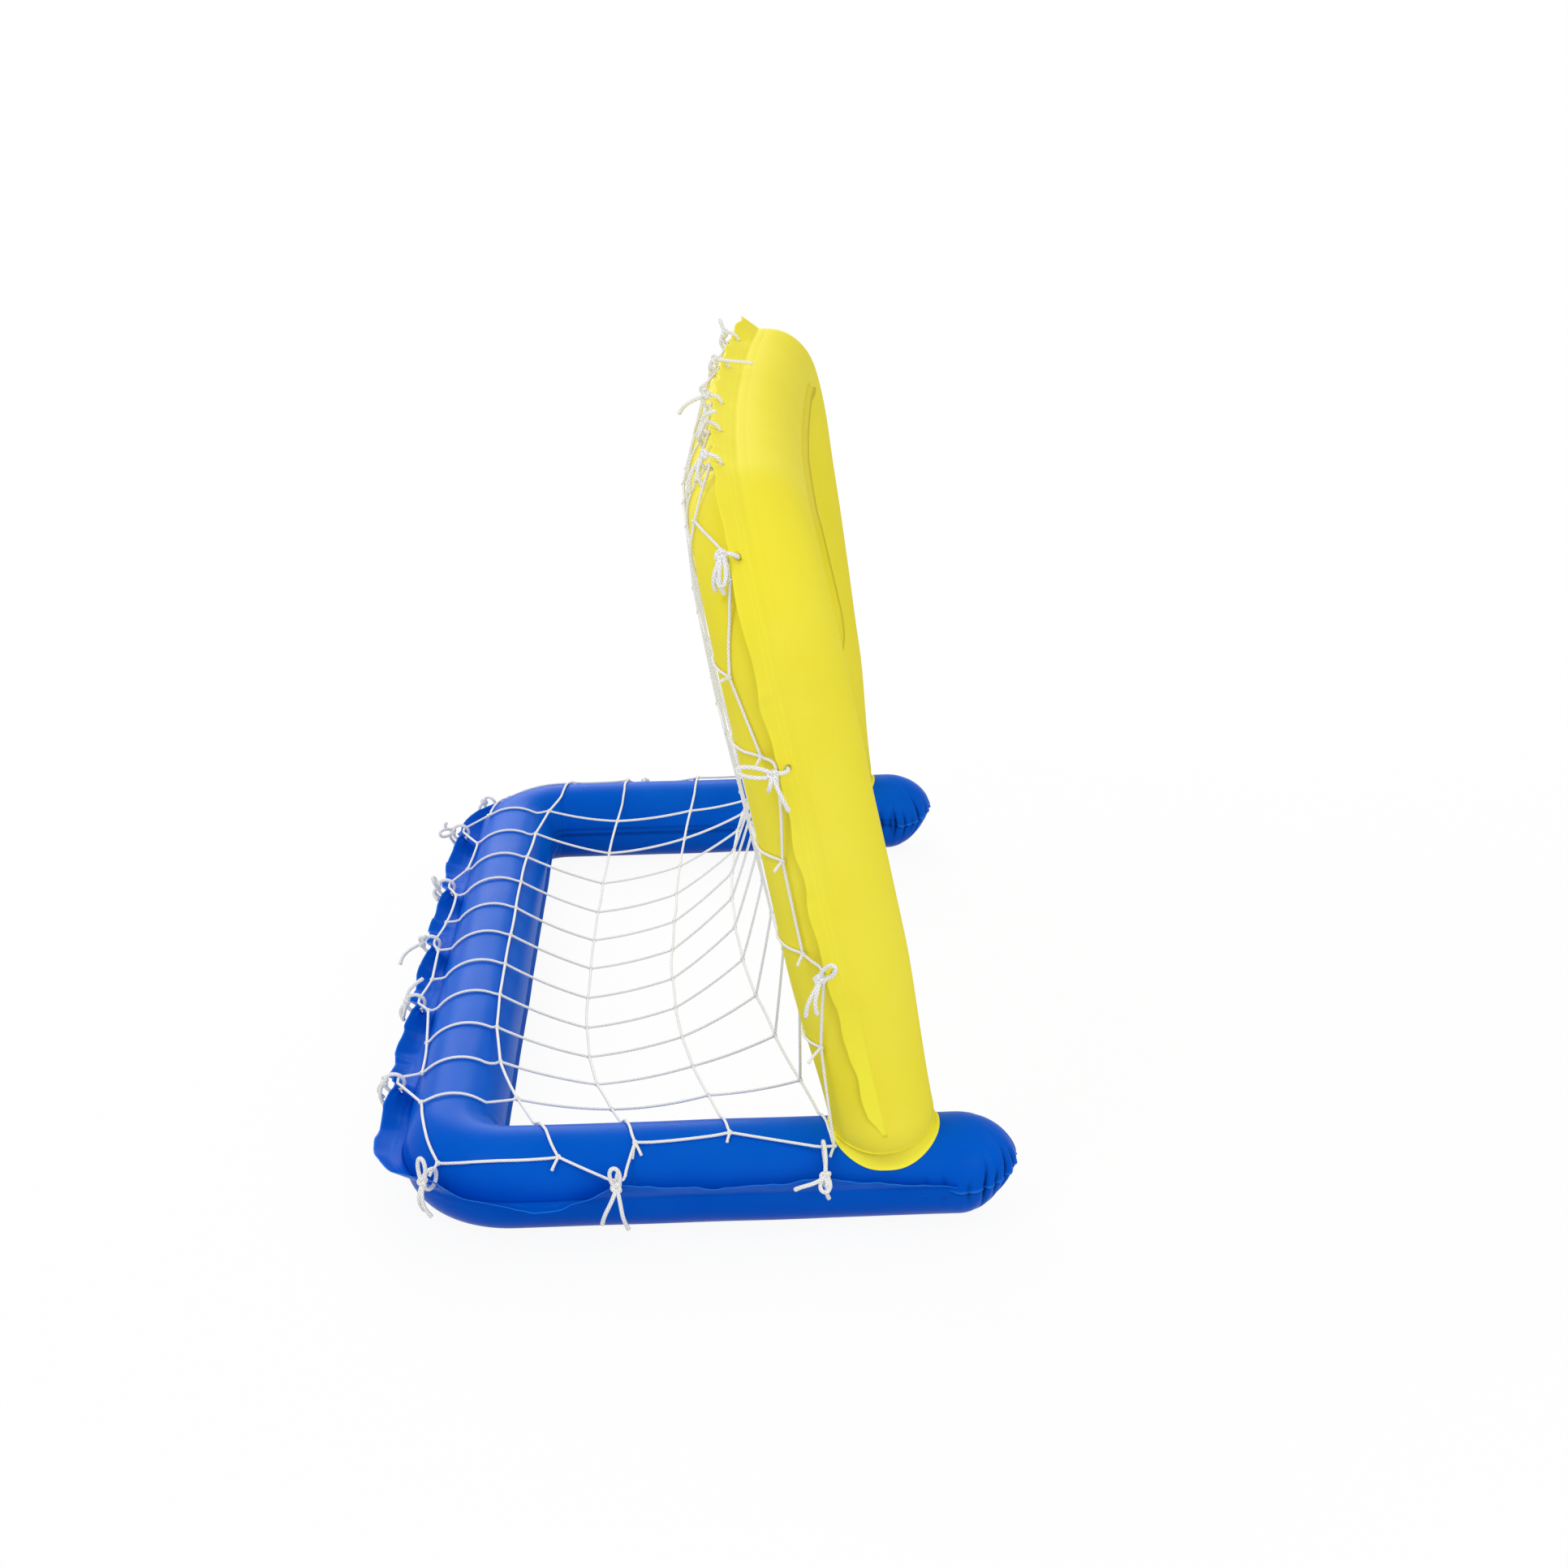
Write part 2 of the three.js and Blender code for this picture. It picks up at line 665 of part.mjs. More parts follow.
// Eyelets: holes through the flap, set so that each tie's loop hangs at the outer side of its hole
function eyeletCutters(names) {
  return names.map((name) => {
    const { eyelet, direction, normal, tangent } = tieFrame(tieRows[name]);
    const cutter = new THREE.CylinderGeometry(eyeletRadius, eyeletRadius, 2 * overrun, holeSides);
    const centre = add(eyelet, [direction, tieCordRadius + 2 * gap - eyeletRadius]);
    cutter.applyMatrix4(new THREE.Matrix4().makeBasis(tangent, normal, tangent.clone().cross(normal)));
    cutter.translate(centre.x, centre.y, centre.z);
    return cutter;
  });
}

function flapWithEyelets(frames, rows, from, to) {
  const names = Object.keys(tieRows).filter((name) => {
    const [tieTube, , along] = tieRows[name];
    return tieTube === frames && along > from && along < to;
  });
  return cut(flapGeometry(frames, rows, from, to), eyeletCutters(names));
}

// Net: eleven lines of knots across the goal, from the rear flap, over the floor and up the curtain to
// the top flap, by thirteen lines that run from back to top. The knots of the two side borders and of
// the middle line are set here; between them they follow a parabola across the goal.
const acrossGaps = 12;
const floorLines = 5;
const tieStraight = 8;
const strandClear = strandHalf * Math.SQRT2 + gap;
const strandLift = 1.2;
const knotClear = strandClear + strandLift;

// Middle line: distance from the rear bar's centre line, as a share of the posts' distance from it,
// height, as a share of the arch's height, and the power that says how late the line turns aside
const middleShares = [
  [-0.134, 0.133, 2], [0.063, 0.161, 4.4], [0.275, 0.083, 2.8], [0.499, 0.118, 2.2],
  [0.664, 0.225, 2], [0.731, 0.381, 2], [0.681, 0.556, 2], [0.629, 0.729, 2], [0.59, 0.900, 2],
  [0.574, 1.060, 2], [0.635, 1.222, 2],
];
// Near and far borders on the arms: share of the way to the post, and degrees round from the top
const nearArmBorder = [[0.055, 58], [0.262, 42], [0.433, 28], [0.646, 19], [0.879, 40]];
const farArmBorder = [[0.037, 48], [0.166, 32], [0.345, 28], [0.566, 22], [0.752, 40]];
// Near and far borders on the posts: share of the arch's height, and degrees round from the outside
const nearPostBorder = [[0.2, 45], [0.37, 38], [0.53, 37], [0.705, 34], [0.83, 50]];
const farPostBorder = [[0.2, 45], [0.36, 38], [0.53, 38], [0.70, 36], [0.83, 50]];

function clearOf(frames, point, clearance) {
  let nearest = null;
  for (let i = 0; i + 1 < frames.length; i += 1) {
    const [a, b] = [frames[i], frames[i + 1]];
    const line = new THREE.Line3(a.centre, b.centre);
    const share = line.closestPointToPointParameter(point, true);
    const centre = line.at(share, new THREE.Vector3());
    const distance = centre.distanceTo(point);
    const needed = mix(a.radius, b.radius, share) + clearance;
    if (!nearest || distance - needed < nearest.slack) {
      nearest = { centre, needed, slack: distance - needed };
    }
  }
  if (nearest.slack >= 0) {
    return point;
  }
  const spoke = point.clone().sub(nearest.centre).normalize();
  return add(nearest.centre, [spoke, nearest.needed]);
}

function clearOfTubes(point, clearance = knotClear) {
  return clearOf(arch, clearOf(base, point, clearance), clearance);
}

// Whether the straight line between two points keeps the strand's own clearance to both tubes
function isFree(start, end) {
  const samples = [1 / 4, 1 / 2, 3 / 4].map((share) => start.clone().lerp(end, share));
  return samples.every((sample) => clearOfTubes(sample, strandClear) === sample);
}

function borderKnot(line, sign) {
  const onArms = sign > 0 ? nearArmBorder : farArmBorder;
  const onPosts = sign > 0 ? nearPostBorder : farPostBorder;
  if (line < floorLines) {
    const [share, turn] = onArms[line];
    const frame = frameAt(base, behindPost(share, sign));
    const reach = frame.radius + knotClear;
    return add(frame.centre, [frame.outward, reach * Math.sin(radians(turn))],
      [frame.side, reach * Math.cos(radians(turn))]);
  }
  if (line - floorLines < onPosts.length) {
    const [share, turn] = onPosts[line - floorLines];
    const frame = frameAt(arch, onPost(share, sign));
    const reach = frame.radius + knotClear;
    return add(frame.centre, [frame.outward, reach * Math.cos(radians(turn))],
      [frame.side, reach * Math.sin(radians(turn))]);
  }
  const cornerTie = sign > 0 ? tieRows.tie_near_post_1 : tieRows.tie_far_post_1;
  const beyond = [cornerTie[0], cornerTie[1], cornerTie[2] + sign * 2 * tieStraight];
  return borderPoint(beyond);
}

function knotAt(line, place) {
  const across = 1 - (2 * place) / acrossGaps;
  if (Math.abs(across) === 1) {
    return borderKnot(line, -across);
  }
  const [reachShare, heightShare, turnPower] = middleShares[line];
  const border = borderKnot(line, -Math.sign(across) || 1);
  const pull = Math.abs(across) ** turnPower;
  return clearOfTubes(new THREE.Vector3(
    across * halfSpacing,
    mix(-reachShare * footReach, border.y, pull),
    mix(heightShare * archHeight, border.z, pull),
  ));
}

const lineCount = middleShares.length;
const knots = middleShares.map((_, line) => {
  const row = [];
  for (let place = 0; place <= acrossGaps; place += 1) {
    row.push(knotAt(line, place));
  }
  return row;
});

// The ties that a border strand between two knots passes through, in order
function viaPoints(start, end, names) {
  const points = [];
  const course = end.clone().sub(start);
  for (const name of names) {
    const point = borderPoint(tieRows[name]);
    const share = point.clone().sub(start).dot(course) / course.lengthSq();
    if (share > 0 && share < 1) {
      const { tangent } = tieFrame(tieRows[name]);
      const along = Math.sign(tangent.dot(course)) * tieStraight;
      points.push({ share, pair: [add(point, [tangent, -along]), add(point, [tangent, along])] });
    }
  }
  points.sort((a, b) => a.share - b.share);
  return points.flatMap(({ pair }) => pair);
}

const tieNames = Object.keys(tieRows);
const named = (pattern) => tieNames.filter((name) => pattern.test(name));
const crossTies = (line) => {
  if (line === 0) {
    return named(/rear_|far_corner/);
  }
  return line === lineCount - 1 ? named(/top_|post_1/) : [];
};

// Ties on the side border between one line of knots and the next
const borderTies = (line, place) => {
  const side = { 0: 'far', [acrossGaps]: 'near' }[place];
  if (!side) {
    return [];
  }
  if (line < floorLines - 1) {
    return named(new RegExp(side === 'near' ? 'near_(corner|arm|foot)' : 'far_(arm|foot)'));
  }
  return line < floorLines ? [] : named(new RegExp(`${side}_post_[23]`));
};

// Points of a strand between two knots: bent through its ties, with as many bends as it takes to pass
// over a tube, and otherwise hanging a little in the middle
const slackShare = 0.03;

function bends(start, end, hangs) {
  const length = start.distanceTo(end);
  let points = [];
  for (let count = hangs ? 2 : 1; count <= mostBends; count += 1) {
    points = [];
    for (let step = 1; step < count; step += 1) {
      const share = step / count;
      const sag = 4 * share * (1 - share) * slackShare * length;
      points.push(clearOfTubes(add(start.clone().lerp(end, share), [up, -sag])));
    }
    const line = [start, ...points, end];
    if (line.every((point, i) => i === 0 || isFree(line[i - 1], point))) {
      break;
    }
  }
  return points;
}

function strandPoints(start, end, names, hangs) {
  const stops = [start, ...viaPoints(start, end, names), end];
  return stops.slice(0, -1).flatMap((stop, i) => {
    const isThroughTie = i % 2 === 1;
    const between = isThroughTie ? [] : bends(stop, stops[i + 1], hangs && stops.length === 2);
    return i > 0 ? [stop, ...between] : between;
  });
}

// One closed surface for a block of the net: a small square block at each knot, and square strands
// between them that share the blocks' corners
function netGeometry(firstLine, lastLine, leadsIn) {
  const surface = newSurface();
  const blocks = new Map();

  const direction = (from, to) => {
    const [a, b] = [from, to].map(([line, place]) => knots[
      THREE.MathUtils.clamp(line, firstLine, lastLine)][THREE.MathUtils.clamp(place, 0, acrossGaps)]);
    return b.clone().sub(a).normalize();
  };

  for (let line = firstLine; line <= lastLine; line += 1) {
    for (let place = 0; place <= acrossGaps; place += 1) {
      const along = direction([line - 1, place], [line + 1, place]);
      const across = direction([line, place - 1], [line, place + 1]);
      const normal = along.clone().cross(across).normalize();
      across.copy(normal).cross(along).normalize();
      const corner = (a, b, n) => addCorner(surface,
        add(knots[line][place], [along, a * strandHalf], [across, b * strandHalf], [normal, n * strandHalf]));
      const corners = {};
      for (const a of [-1, 1]) {
        for (const b of [-1, 1]) {
          for (const n of [-1, 1]) {
            corners[[a, b, n]] = corner(a, b, n);
          }
        }
      }
      blocks.set(`${line},${place}`, { along, across, normal, corners });
    }
  }

  // The four corners of a block's face, counter-clockwise about the direction given
  const faceAlong = (block, a) => [[a, 1, 1], [a, -1, 1], [a, -1, -1], [a, 1, -1]].map((key) => block.corners[key]);
  const faceAcross = (block, b) => [[1, b, 1], [1, b, -1], [-1, b, -1], [-1, b, 1]].map((key) => block.corners[key]);

  const addStrand = (startRing, endRing, points, startBlock, endBlock, isAlong) => {
    let ring = startRing;
    points.forEach((point, i) => {
      const before = i > 0 ? points[i - 1] : startBlock.place;
      const after = i + 1 < points.length ? points[i + 1] : endBlock.place;
      const course = after.clone().sub(before).normalize();
      const share = (i + 1) / (points.length + 1);
      const normal = startBlock.normal.clone().lerp(endBlock.normal, share);
      normal.addScaledVector(course, -normal.dot(course)).normalize();
      const side = isAlong ? normal.clone().cross(course) : course.clone().cross(normal);
      const signs = isAlong ? [[1, 1], [-1, 1], [-1, -1], [1, -1]] : [[1, 1], [1, -1], [-1, -1], [-1, 1]];
      const next = signs.map(([s, n]) => addCorner(surface,
        add(point, [side, s * strandHalf], [normal, n * strandHalf])));
      addBand(surface, ring, next);
      ring = next;
    });
    addBand(surface, ring, endRing);
  };

  for (let line = firstLine; line <= lastLine; line += 1) {
    for (let place = 0; place <= acrossGaps; place += 1) {
      const block = blocks.get(`${line},${place}`);
      block.place = knots[line][place];
      const top = [[1, 1, 1], [-1, 1, 1], [-1, -1, 1], [1, -1, 1]].map((key) => block.corners[key]);
      const bottom = [[1, 1, -1], [1, -1, -1], [-1, -1, -1], [-1, 1, -1]].map((key) => block.corners[key]);
      addQuad(surface, ...top);
      addQuad(surface, ...bottom);
      if (line === firstLine && !leadsIn) {
        addQuad(surface, ...faceAlong(block, -1).reverse());
      }
      if (line === lastLine) {
        addQuad(surface, ...faceAlong(block, 1));
      }
      if (place === 0) {
        addQuad(surface, ...faceAcross(block, -1).reverse());
      }
      if (place === acrossGaps) {
        addQuad(surface, ...faceAcross(block, 1));
      }
    }
  }

  for (let line = firstLine; line <= lastLine; line += 1) {
    for (let place = 0; place <= acrossGaps; place += 1) {
      const block = blocks.get(`${line},${place}`);
      if (line < lastLine) {
        const end = blocks.get(`${line + 1},${place}`);
        const points = strandPoints(block.place, knots[line + 1][place], borderTies(line, place),
          line < floorLines);
        addStrand(faceAlong(block, 1), faceAlong(end, -1), points, block, end, true);
      }
      if (place < acrossGaps) {
        const end = blocks.get(`${line},${place + 1}`);
        const points = strandPoints(block.place, knots[line][place + 1], crossTies(line), false);
        addStrand(faceAcross(block, 1), faceAcross(end, -1), points, block, end, false);
      }
    }
  }

  // Loose lower ends of the curtain, each ending just off the floor's last line
  if (leadsIn) {
    for (let place = 0; place <= acrossGaps; place += 1) {
      const block = blocks.get(`${firstLine},${place}`);
      const start = knots[firstLine - 1][place];
      const points = strandPoints(start, block.place, borderTies(firstLine - 1, place), true);
      const course = (points[0] ?? block.place).clone().sub(start).normalize();
      const off = strandHalf * 2 + gap;
      points.unshift(add(start, [course, off]));
      const normal = block.normal.clone();
      const startBlock = { place: start, normal };
      normal.addScaledVector(course, -normal.dot(course)).normalize();
      const side = normal.clone().cross(course);
      const ring = [[1, 1], [-1, 1], [-1, -1], [1, -1]].map(([s, n]) => addCorner(surface,
        add(points[0], [side, s * strandHalf], [normal, n * strandHalf])));
      addQuad(surface, ...[...ring].reverse());
      addStrand(ring, faceAlong(block, -1), points.slice(1), startBlock, block, true);
    }
  }
  return surfaceGeometry(surface);
}

// Air valves, each in a pocket of its chamber: a seat, a stem that pushes in until it is flush, a plug
// cap hinged on the stem, and a check flap hinged under the stem's inner end
function valveMatrix({ frames, along, turn }) {
  const frame = frameAt(frames, along);
  const axis = add(new THREE.Vector3(), [frame.outward, Math.cos(turn)], [frame.side, Math.sin(turn)]);
  const origin = add(frame.centre, [axis, frame.radius * facetShare]);
  const matrix = new THREE.Matrix4().makeBasis(frame.tangent, axis.clone().cross(frame.tangent), axis);
  return matrix.setPosition(origin);
}

// A turned solid from a profile of radius and height, standing on its own Z axis
function turned(profile) {
  const outline = profile.map(([radius, height]) => new THREE.Vector2(radius, height));
  const lathe = new THREE.LatheGeometry(outline, latheSteps);
  lathe.rotateX(Math.PI / 2);
  return lathe;
}

function boxBetween(low, high) {
  const box = new THREE.BoxGeometry(high[0] - low[0], high[1] - low[1], high[2] - low[2]);
  return box.translate((low[0] + high[0]) / 2, (low[1] + high[1]) / 2, (low[2] + high[2]) / 2);
}

function valvePocket() {
  const cutter = new THREE.CylinderGeometry(pocketRadius, pocketRadius, pocketDepth + pocketRadius, latheSteps);
  cutter.rotateX(Math.PI / 2);
  return cutter.translate(0, 0, (pocketRadius - pocketDepth) / 2);
}

const seatRadius = (pocketRadius - gap) * Math.cos(Math.PI / latheSteps) - gap;
const seatHole = stemRadius + gap;
const capBase = gap - stemDrop;

function valveSeat() {
  const floor = -seatDrop - seatHeight;
  return turned([
    [seatHole, floor], [seatRadius, floor], [seatRadius, -seatDrop], [seatRadius - seatWall, -seatDrop],
    [seatRadius - seatWall, floor + seatWall], [seatHole, floor + seatWall], [seatHole, floor],
  ]);
}

function valveStem() {
  const foot = -stemDrop - stemLength;
  const tube = turned([
    [stemBore, foot], [stopRadius, foot], [stopRadius, foot + stopHeight], [stemRadius, foot + stopHeight],
    [stemRadius, -stemDrop], [stemBore, -stemDrop], [stemBore, foot],
  ]);
  const inner = (stemBore + stemRadius) / 2;
  const lug = boxBetween([-hingeReach, -hingeWidth / 2, -stemDrop - gap - lugHeight],
    [-inner, hingeWidth / 2, -stemDrop - gap]);
  return joined([tube, lug]);
}

function valveCap() {
  const disc = turned([
    [0, capBase - plugLength], [plugTipRadius, capBase - plugLength], [plugRadius, capBase],
    [capRadius, capBase], [capRadius, capBase + capThickness], [0, capBase + capThickness],
  ]);
  const strap = boxBetween([-hingeReach, -hingeWidth / 2, capBase],
    [-plugRadius, hingeWidth / 2, capBase + capThickness]);
  return joined([disc, strap]);
}

function valveCheck() {
  const top = -stemDrop - stemLength - gap;
  return turned([[0, top - checkThickness], [checkRadius, top - checkThickness], [checkRadius, top], [0, top]]);
}

const valves = {
  base_valve: { frames: base, along: behindPost(0.554, -1), turn: (-4 * Math.PI) / tubeSides },
  arch_valve: { frames: arch, along: onPost(0.22, -1), turn: (-4 * Math.PI) / tubeSides },
};

// Foot collars: a band of each post's skin that lies on the arm round the foot
function footCollar(sign) {
  const outer = toSolid(baseSolid(base, gap + collarThickness));
  const inner = toSolid(baseSolid(base, gap));
  const foot = toSolid(archSolid(arch, gap));
  const centre = archPoint(-sign * halfSpacing, footShoulder / 2);
  const region = new THREE.CylinderGeometry(1, 1, 2 * baseRadius, collarSides);
  region.rotateX(Math.PI / 2);
  region.scale(collarHalfWidth, collarHalfLength, 1);
  region.translate(centre.x, centre.y, baseAxisHeight + baseRadius);
  return toGeometry(toSolid(region).intersect(outer).subtract(inner).subtract(foot));
}

// Materials
const blue = { color: '#1450cf', roughness: 0.2, metalness: 0 };
const yellow = { color: '#f0e544', roughness: 0.4, metalness: 0 };
const white = { color: '#f2f2ee', roughness: 0.85, metalness: 0 };
const clear = { color: '#dfe6ea', roughness: 0.3, metalness: 0 };

const goal = new THREE.Group();

function addPiece(name, geometry, look, matrix = null) {
  const mesh = new THREE.Mesh(geometry, new THREE.MeshStandardMaterial(look));
  mesh.name = name;
  if (matrix) {
    mesh.applyMatrix4(matrix);
  }
  goal.add(mesh);
}

// Chambers, with their valve pockets, and the foot of the arch shaped to the arms
const basePocket = valvePocket().applyMatrix4(valveMatrix(valves.base_valve));
const archPocket = valvePocket().applyMatrix4(valveMatrix(valves.arch_valve));
addPiece('base_chamber', cut(baseSolid(base), [basePocket]), blue);
addPiece('arch_chamber', cut(archSolid(arch), [baseSolid(base, gap), archPocket]), yellow);
addPiece('foot_collar_near', footCollar(1), yellow);
addPiece('foot_collar_far', footCollar(-1), yellow);

// Flaps, parted at the middle of each corner
function addFlaps(prefix, frames, rows, look, cornerNear, cornerFar) {
  const first = rows[0][0];
  const last = rows[rows.length - 1][0];
  addPiece(`${prefix}_far`, flapWithEyelets(frames, rows, first, cornerFar - gap), look);
  addPiece(`${prefix}_middle`, flapWithEyelets(frames, rows, cornerFar, cornerNear), look);
  addPiece(`${prefix}_near`, flapWithEyelets(frames, rows, cornerNear + gap, last), look);
}

addFlaps('base_flap', base, baseFlapRows, blue, onCorner(0.3, 1), onCorner(0.75, -1));
addFlaps('arch_flap', arch, archFlapRows, yellow, onArchCorner(0.85, 1), onArchCorner(0.85, -1));

// Net and ties
addPiece('net_floor', netGeometry(0, floorLines - 1, false), white);
addPiece('net_curtain', netGeometry(floorLines, lineCount - 1, true), white);
for (const name of tieNames) {
  addPiece(name, tieGeometry(tieRows[name]), white);
}

// Valves
for (const [name, valve] of Object.entries(valves)) {
  const matrix = valveMatrix(valve);
  addPiece(`${name}_seat`, valveSeat(), clear, matrix);
  addPiece(`${name}_stem`, valveStem(), clear, matrix);
  addPiece(`${name}_cap`, valveCap(), clear, matrix);
  addPiece(`${name}_check`, valveCheck(), clear, matrix);
}

// The origin goes to the middle of the footprint, on the water line
const extent = new THREE.Box3().setFromObject(goal, true);
const middle = extent.getCenter(new THREE.Vector3());
goal.position.set(-middle.x, -middle.y, -extent.min.z);
goal.updateMatrixWorld(true);

export default goal;
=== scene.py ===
import bpy
import numpy as np
from mathutils import Euler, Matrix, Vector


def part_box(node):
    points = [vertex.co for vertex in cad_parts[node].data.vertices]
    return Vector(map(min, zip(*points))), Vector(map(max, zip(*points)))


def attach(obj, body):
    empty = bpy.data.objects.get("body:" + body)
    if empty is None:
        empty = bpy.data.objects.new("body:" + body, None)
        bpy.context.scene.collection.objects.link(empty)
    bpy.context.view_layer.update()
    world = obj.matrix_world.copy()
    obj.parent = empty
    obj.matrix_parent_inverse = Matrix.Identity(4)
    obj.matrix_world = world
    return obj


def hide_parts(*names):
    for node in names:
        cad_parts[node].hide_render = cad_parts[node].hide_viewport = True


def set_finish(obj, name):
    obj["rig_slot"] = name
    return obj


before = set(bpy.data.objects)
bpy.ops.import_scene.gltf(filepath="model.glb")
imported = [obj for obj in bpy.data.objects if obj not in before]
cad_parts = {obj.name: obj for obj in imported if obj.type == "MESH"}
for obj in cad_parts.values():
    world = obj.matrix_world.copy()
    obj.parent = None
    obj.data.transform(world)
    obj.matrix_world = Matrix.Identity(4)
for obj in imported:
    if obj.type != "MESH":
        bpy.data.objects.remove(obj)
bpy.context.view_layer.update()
print("frame:", len(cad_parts), "solids")

# Camera as in the photograph: from beyond the near arm, a little above the top bar
cameraView = {
    "place": (-3.3634, -0.0730, 1.5658),
    "turnDegrees": (70.115, 1.2245, -91.713),
    "lens": 55.86,
    "sensor": 36,
}
cameraData = bpy.data.cameras.new("photoCamera")
cameraData.lens = cameraView["lens"]
cameraData.sensor_width = cameraView["sensor"]
cameraData.clip_end = 50
photoCamera = bpy.data.objects.new("photoCamera", cameraData)
photoCamera.location = cameraView["place"]
photoCamera.rotation_euler = Euler([np.radians(turn) for turn in cameraView["turnDegrees"]])
bpy.context.scene.collection.objects.link(photoCamera)
bpy.context.scene.camera = photoCamera

# Sizes in millimetres, as in the part's source; y = 0 is the centre line of the rear bar
perMetre = 1000
goal = {
    "armSpacing": 1272, "armLength": 643, "tipLength": 76, "baseRadius": 64, "baseCornerRadius": 85,
    "footReach": 554, "archHeight": 756, "archTopWidth": 1213, "archCornerRadius": 142,
    "archRadius": 75, "footRadius": 66, "footRimRadius": 50, "footTuck": 12, "footShoulder": 30,
    "swellHeight": 250, "footLift": 49, "barBow": 25, "leanAngle": 8.9, "leanTwist": 2,
    "solidSides": 20,
}
facetShare = np.cos(np.pi / goal["solidSides"])  # a solid's flats, as a share of its round radius
axisHeight = goal["baseRadius"] * facetShare
halfSpacing = goal["armSpacing"] / 2
boxLow, boxHigh = [np.array(corner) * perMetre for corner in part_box("base_chamber")]
shift = np.array([(boxLow[0] + boxHigh[0]) / 2, boxHigh[1] - axisHeight, 0])
up = np.array([0, 0, 1.0])
chance = np.random.default_rng(7)
chanceTurn = 6.28  # starts of waves and knots are spread over this many radians


# A direction of length one
def unit(v):
    return v / np.linalg.norm(v, axis=-1, keepdims=True)


# Even blend between two values
def mix(a, b, share):
    return a + (b - a) * share


# A bell of height one round a place, with its half width
def bell(x, place, width):
    return np.exp(-((x - place) / width) ** 2)


# A sine or cosine made squarer by a power below one, with its sign kept
def squared(value, power):
    return np.sign(value) * np.abs(value) ** power


# Even turns round a circle, in radians
def roundTurns(count):
    return np.linspace(0, 2 * np.pi, count, endpoint=False)


# Surfaces: a shape collects grids of points; each grid is rows by columns, joined in quads
def newShape():
    return {"points": [], "faces": [], "uvs": [], "paintedLight": [], "count": 0}


# Joins neighbouring rows and columns of a grid; wrapped sides meet; u runs across and v along; the
# per-point value is 1 for a painted highlight on a weld line or edge and -1 for painted shade in a
# crease
def addGrid(shape, grid, u=None, v=None, wrapAcross=True, wrapAlong=False, keep=None, paintedLight=None):
    rows, cols = grid.shape[:2]
    ids = shape["count"] + np.arange(rows * cols).reshape(rows, cols)
    shape["points"].append(grid.reshape(-1, 3))
    shape["paintedLight"].append(np.zeros(rows * cols) if paintedLight is None else paintedLight.reshape(-1))
    shape["count"] += rows * cols
    rim = ids
    if wrapAcross:
        ids = np.concatenate([ids, ids[:, :1]], 1)
    if wrapAlong:
        ids = np.concatenate([ids, ids[:1]], 0)
    u = np.linspace(0, 1, ids.shape[1]) if u is None else u
    v = np.arange(ids.shape[0]) if v is None else v
    uv = np.stack(np.broadcast_arrays(u[None, :], v[:, None]), -1).astype(float)
    def corners(a):
        return np.stack([a[:-1, :-1], a[:-1, 1:], a[1:, 1:], a[1:, :-1]], 2)
    quads, quadUv = corners(ids), corners(uv)
    mask = np.ones(quads.shape[:2], bool) if keep is None else keep
    shape["faces"].append(quads[mask])
    shape["uvs"].append(quadUv[mask])
    return rim


# Closes a ring of points with triangles to one point
def addFan(shape, ring, tip, isStart):
    shape["points"].append(np.asarray(tip, float).reshape(1, 3))
    shape["paintedLight"].append(np.zeros(1))
    tipId = np.full(len(ring), shape["count"])
    shape["count"] += 1
    after = np.roll(ring, -1)
    fan = np.stack([after, ring, tipId] if isStart else [ring, after, tipId], 1)
    shape["faces"].append(fan)
    shape["uvs"].append(np.zeros(fan.shape + (2,)))


# Six times the volume inside: the sum over the triangles of a . (b x c)
def insideVolume(points, faces):
    total = 0
    for group in faces:
        for k in range(1, group.shape[1] - 1):
            a, b, c = points[group[:, 0]], points[group[:, k]], points[group[:, k + 1]]
            total += np.einsum("ij,ij->", a, np.cross(b, c))
    return total


# One mesh from a shape's grids, at its place in the part's frame, with its slot and body. A closed
# shape with a negative volume inside has its faces turned round
def putPiece(name, shape, material, slot, nodes=(), body="goal", isOpen=False):
    points = np.concatenate(shape["points"])
    if not isOpen and insideVolume(points, shape["faces"]) < 0:
        shape["faces"] = [group[:, ::-1] for group in shape["faces"]]
        shape["uvs"] = [group[:, ::-1] for group in shape["uvs"]]
    mesh = bpy.data.meshes.new(name)
    faces = [face for group in shape["faces"] for face in group.tolist()]
    mesh.from_pydata(((points + shift) / perMetre).tolist(), [], faces)
    layer = mesh.uv_layers.new(name="lay")
    layer.data.foreach_set("uv", np.concatenate([group.reshape(-1) for group in shape["uvs"]]))
    # Each point's painted light: positive is a painted highlight, negative is painted shade
    paintedLight = mesh.attributes.new("paintedLight", "FLOAT", "POINT")
    paintedLight.data.foreach_set("value", np.concatenate(shape["paintedLight"]))
    mesh.polygons.foreach_set("use_smooth", np.ones(len(faces), bool))
    mesh.materials.append(material)
    mesh.validate()
    piece = bpy.data.objects.new(name, mesh)
    bpy.context.scene.collection.objects.link(piece)
    if nodes:
        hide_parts(*nodes)
    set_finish(piece, slot)
    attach(piece, body)
    return piece


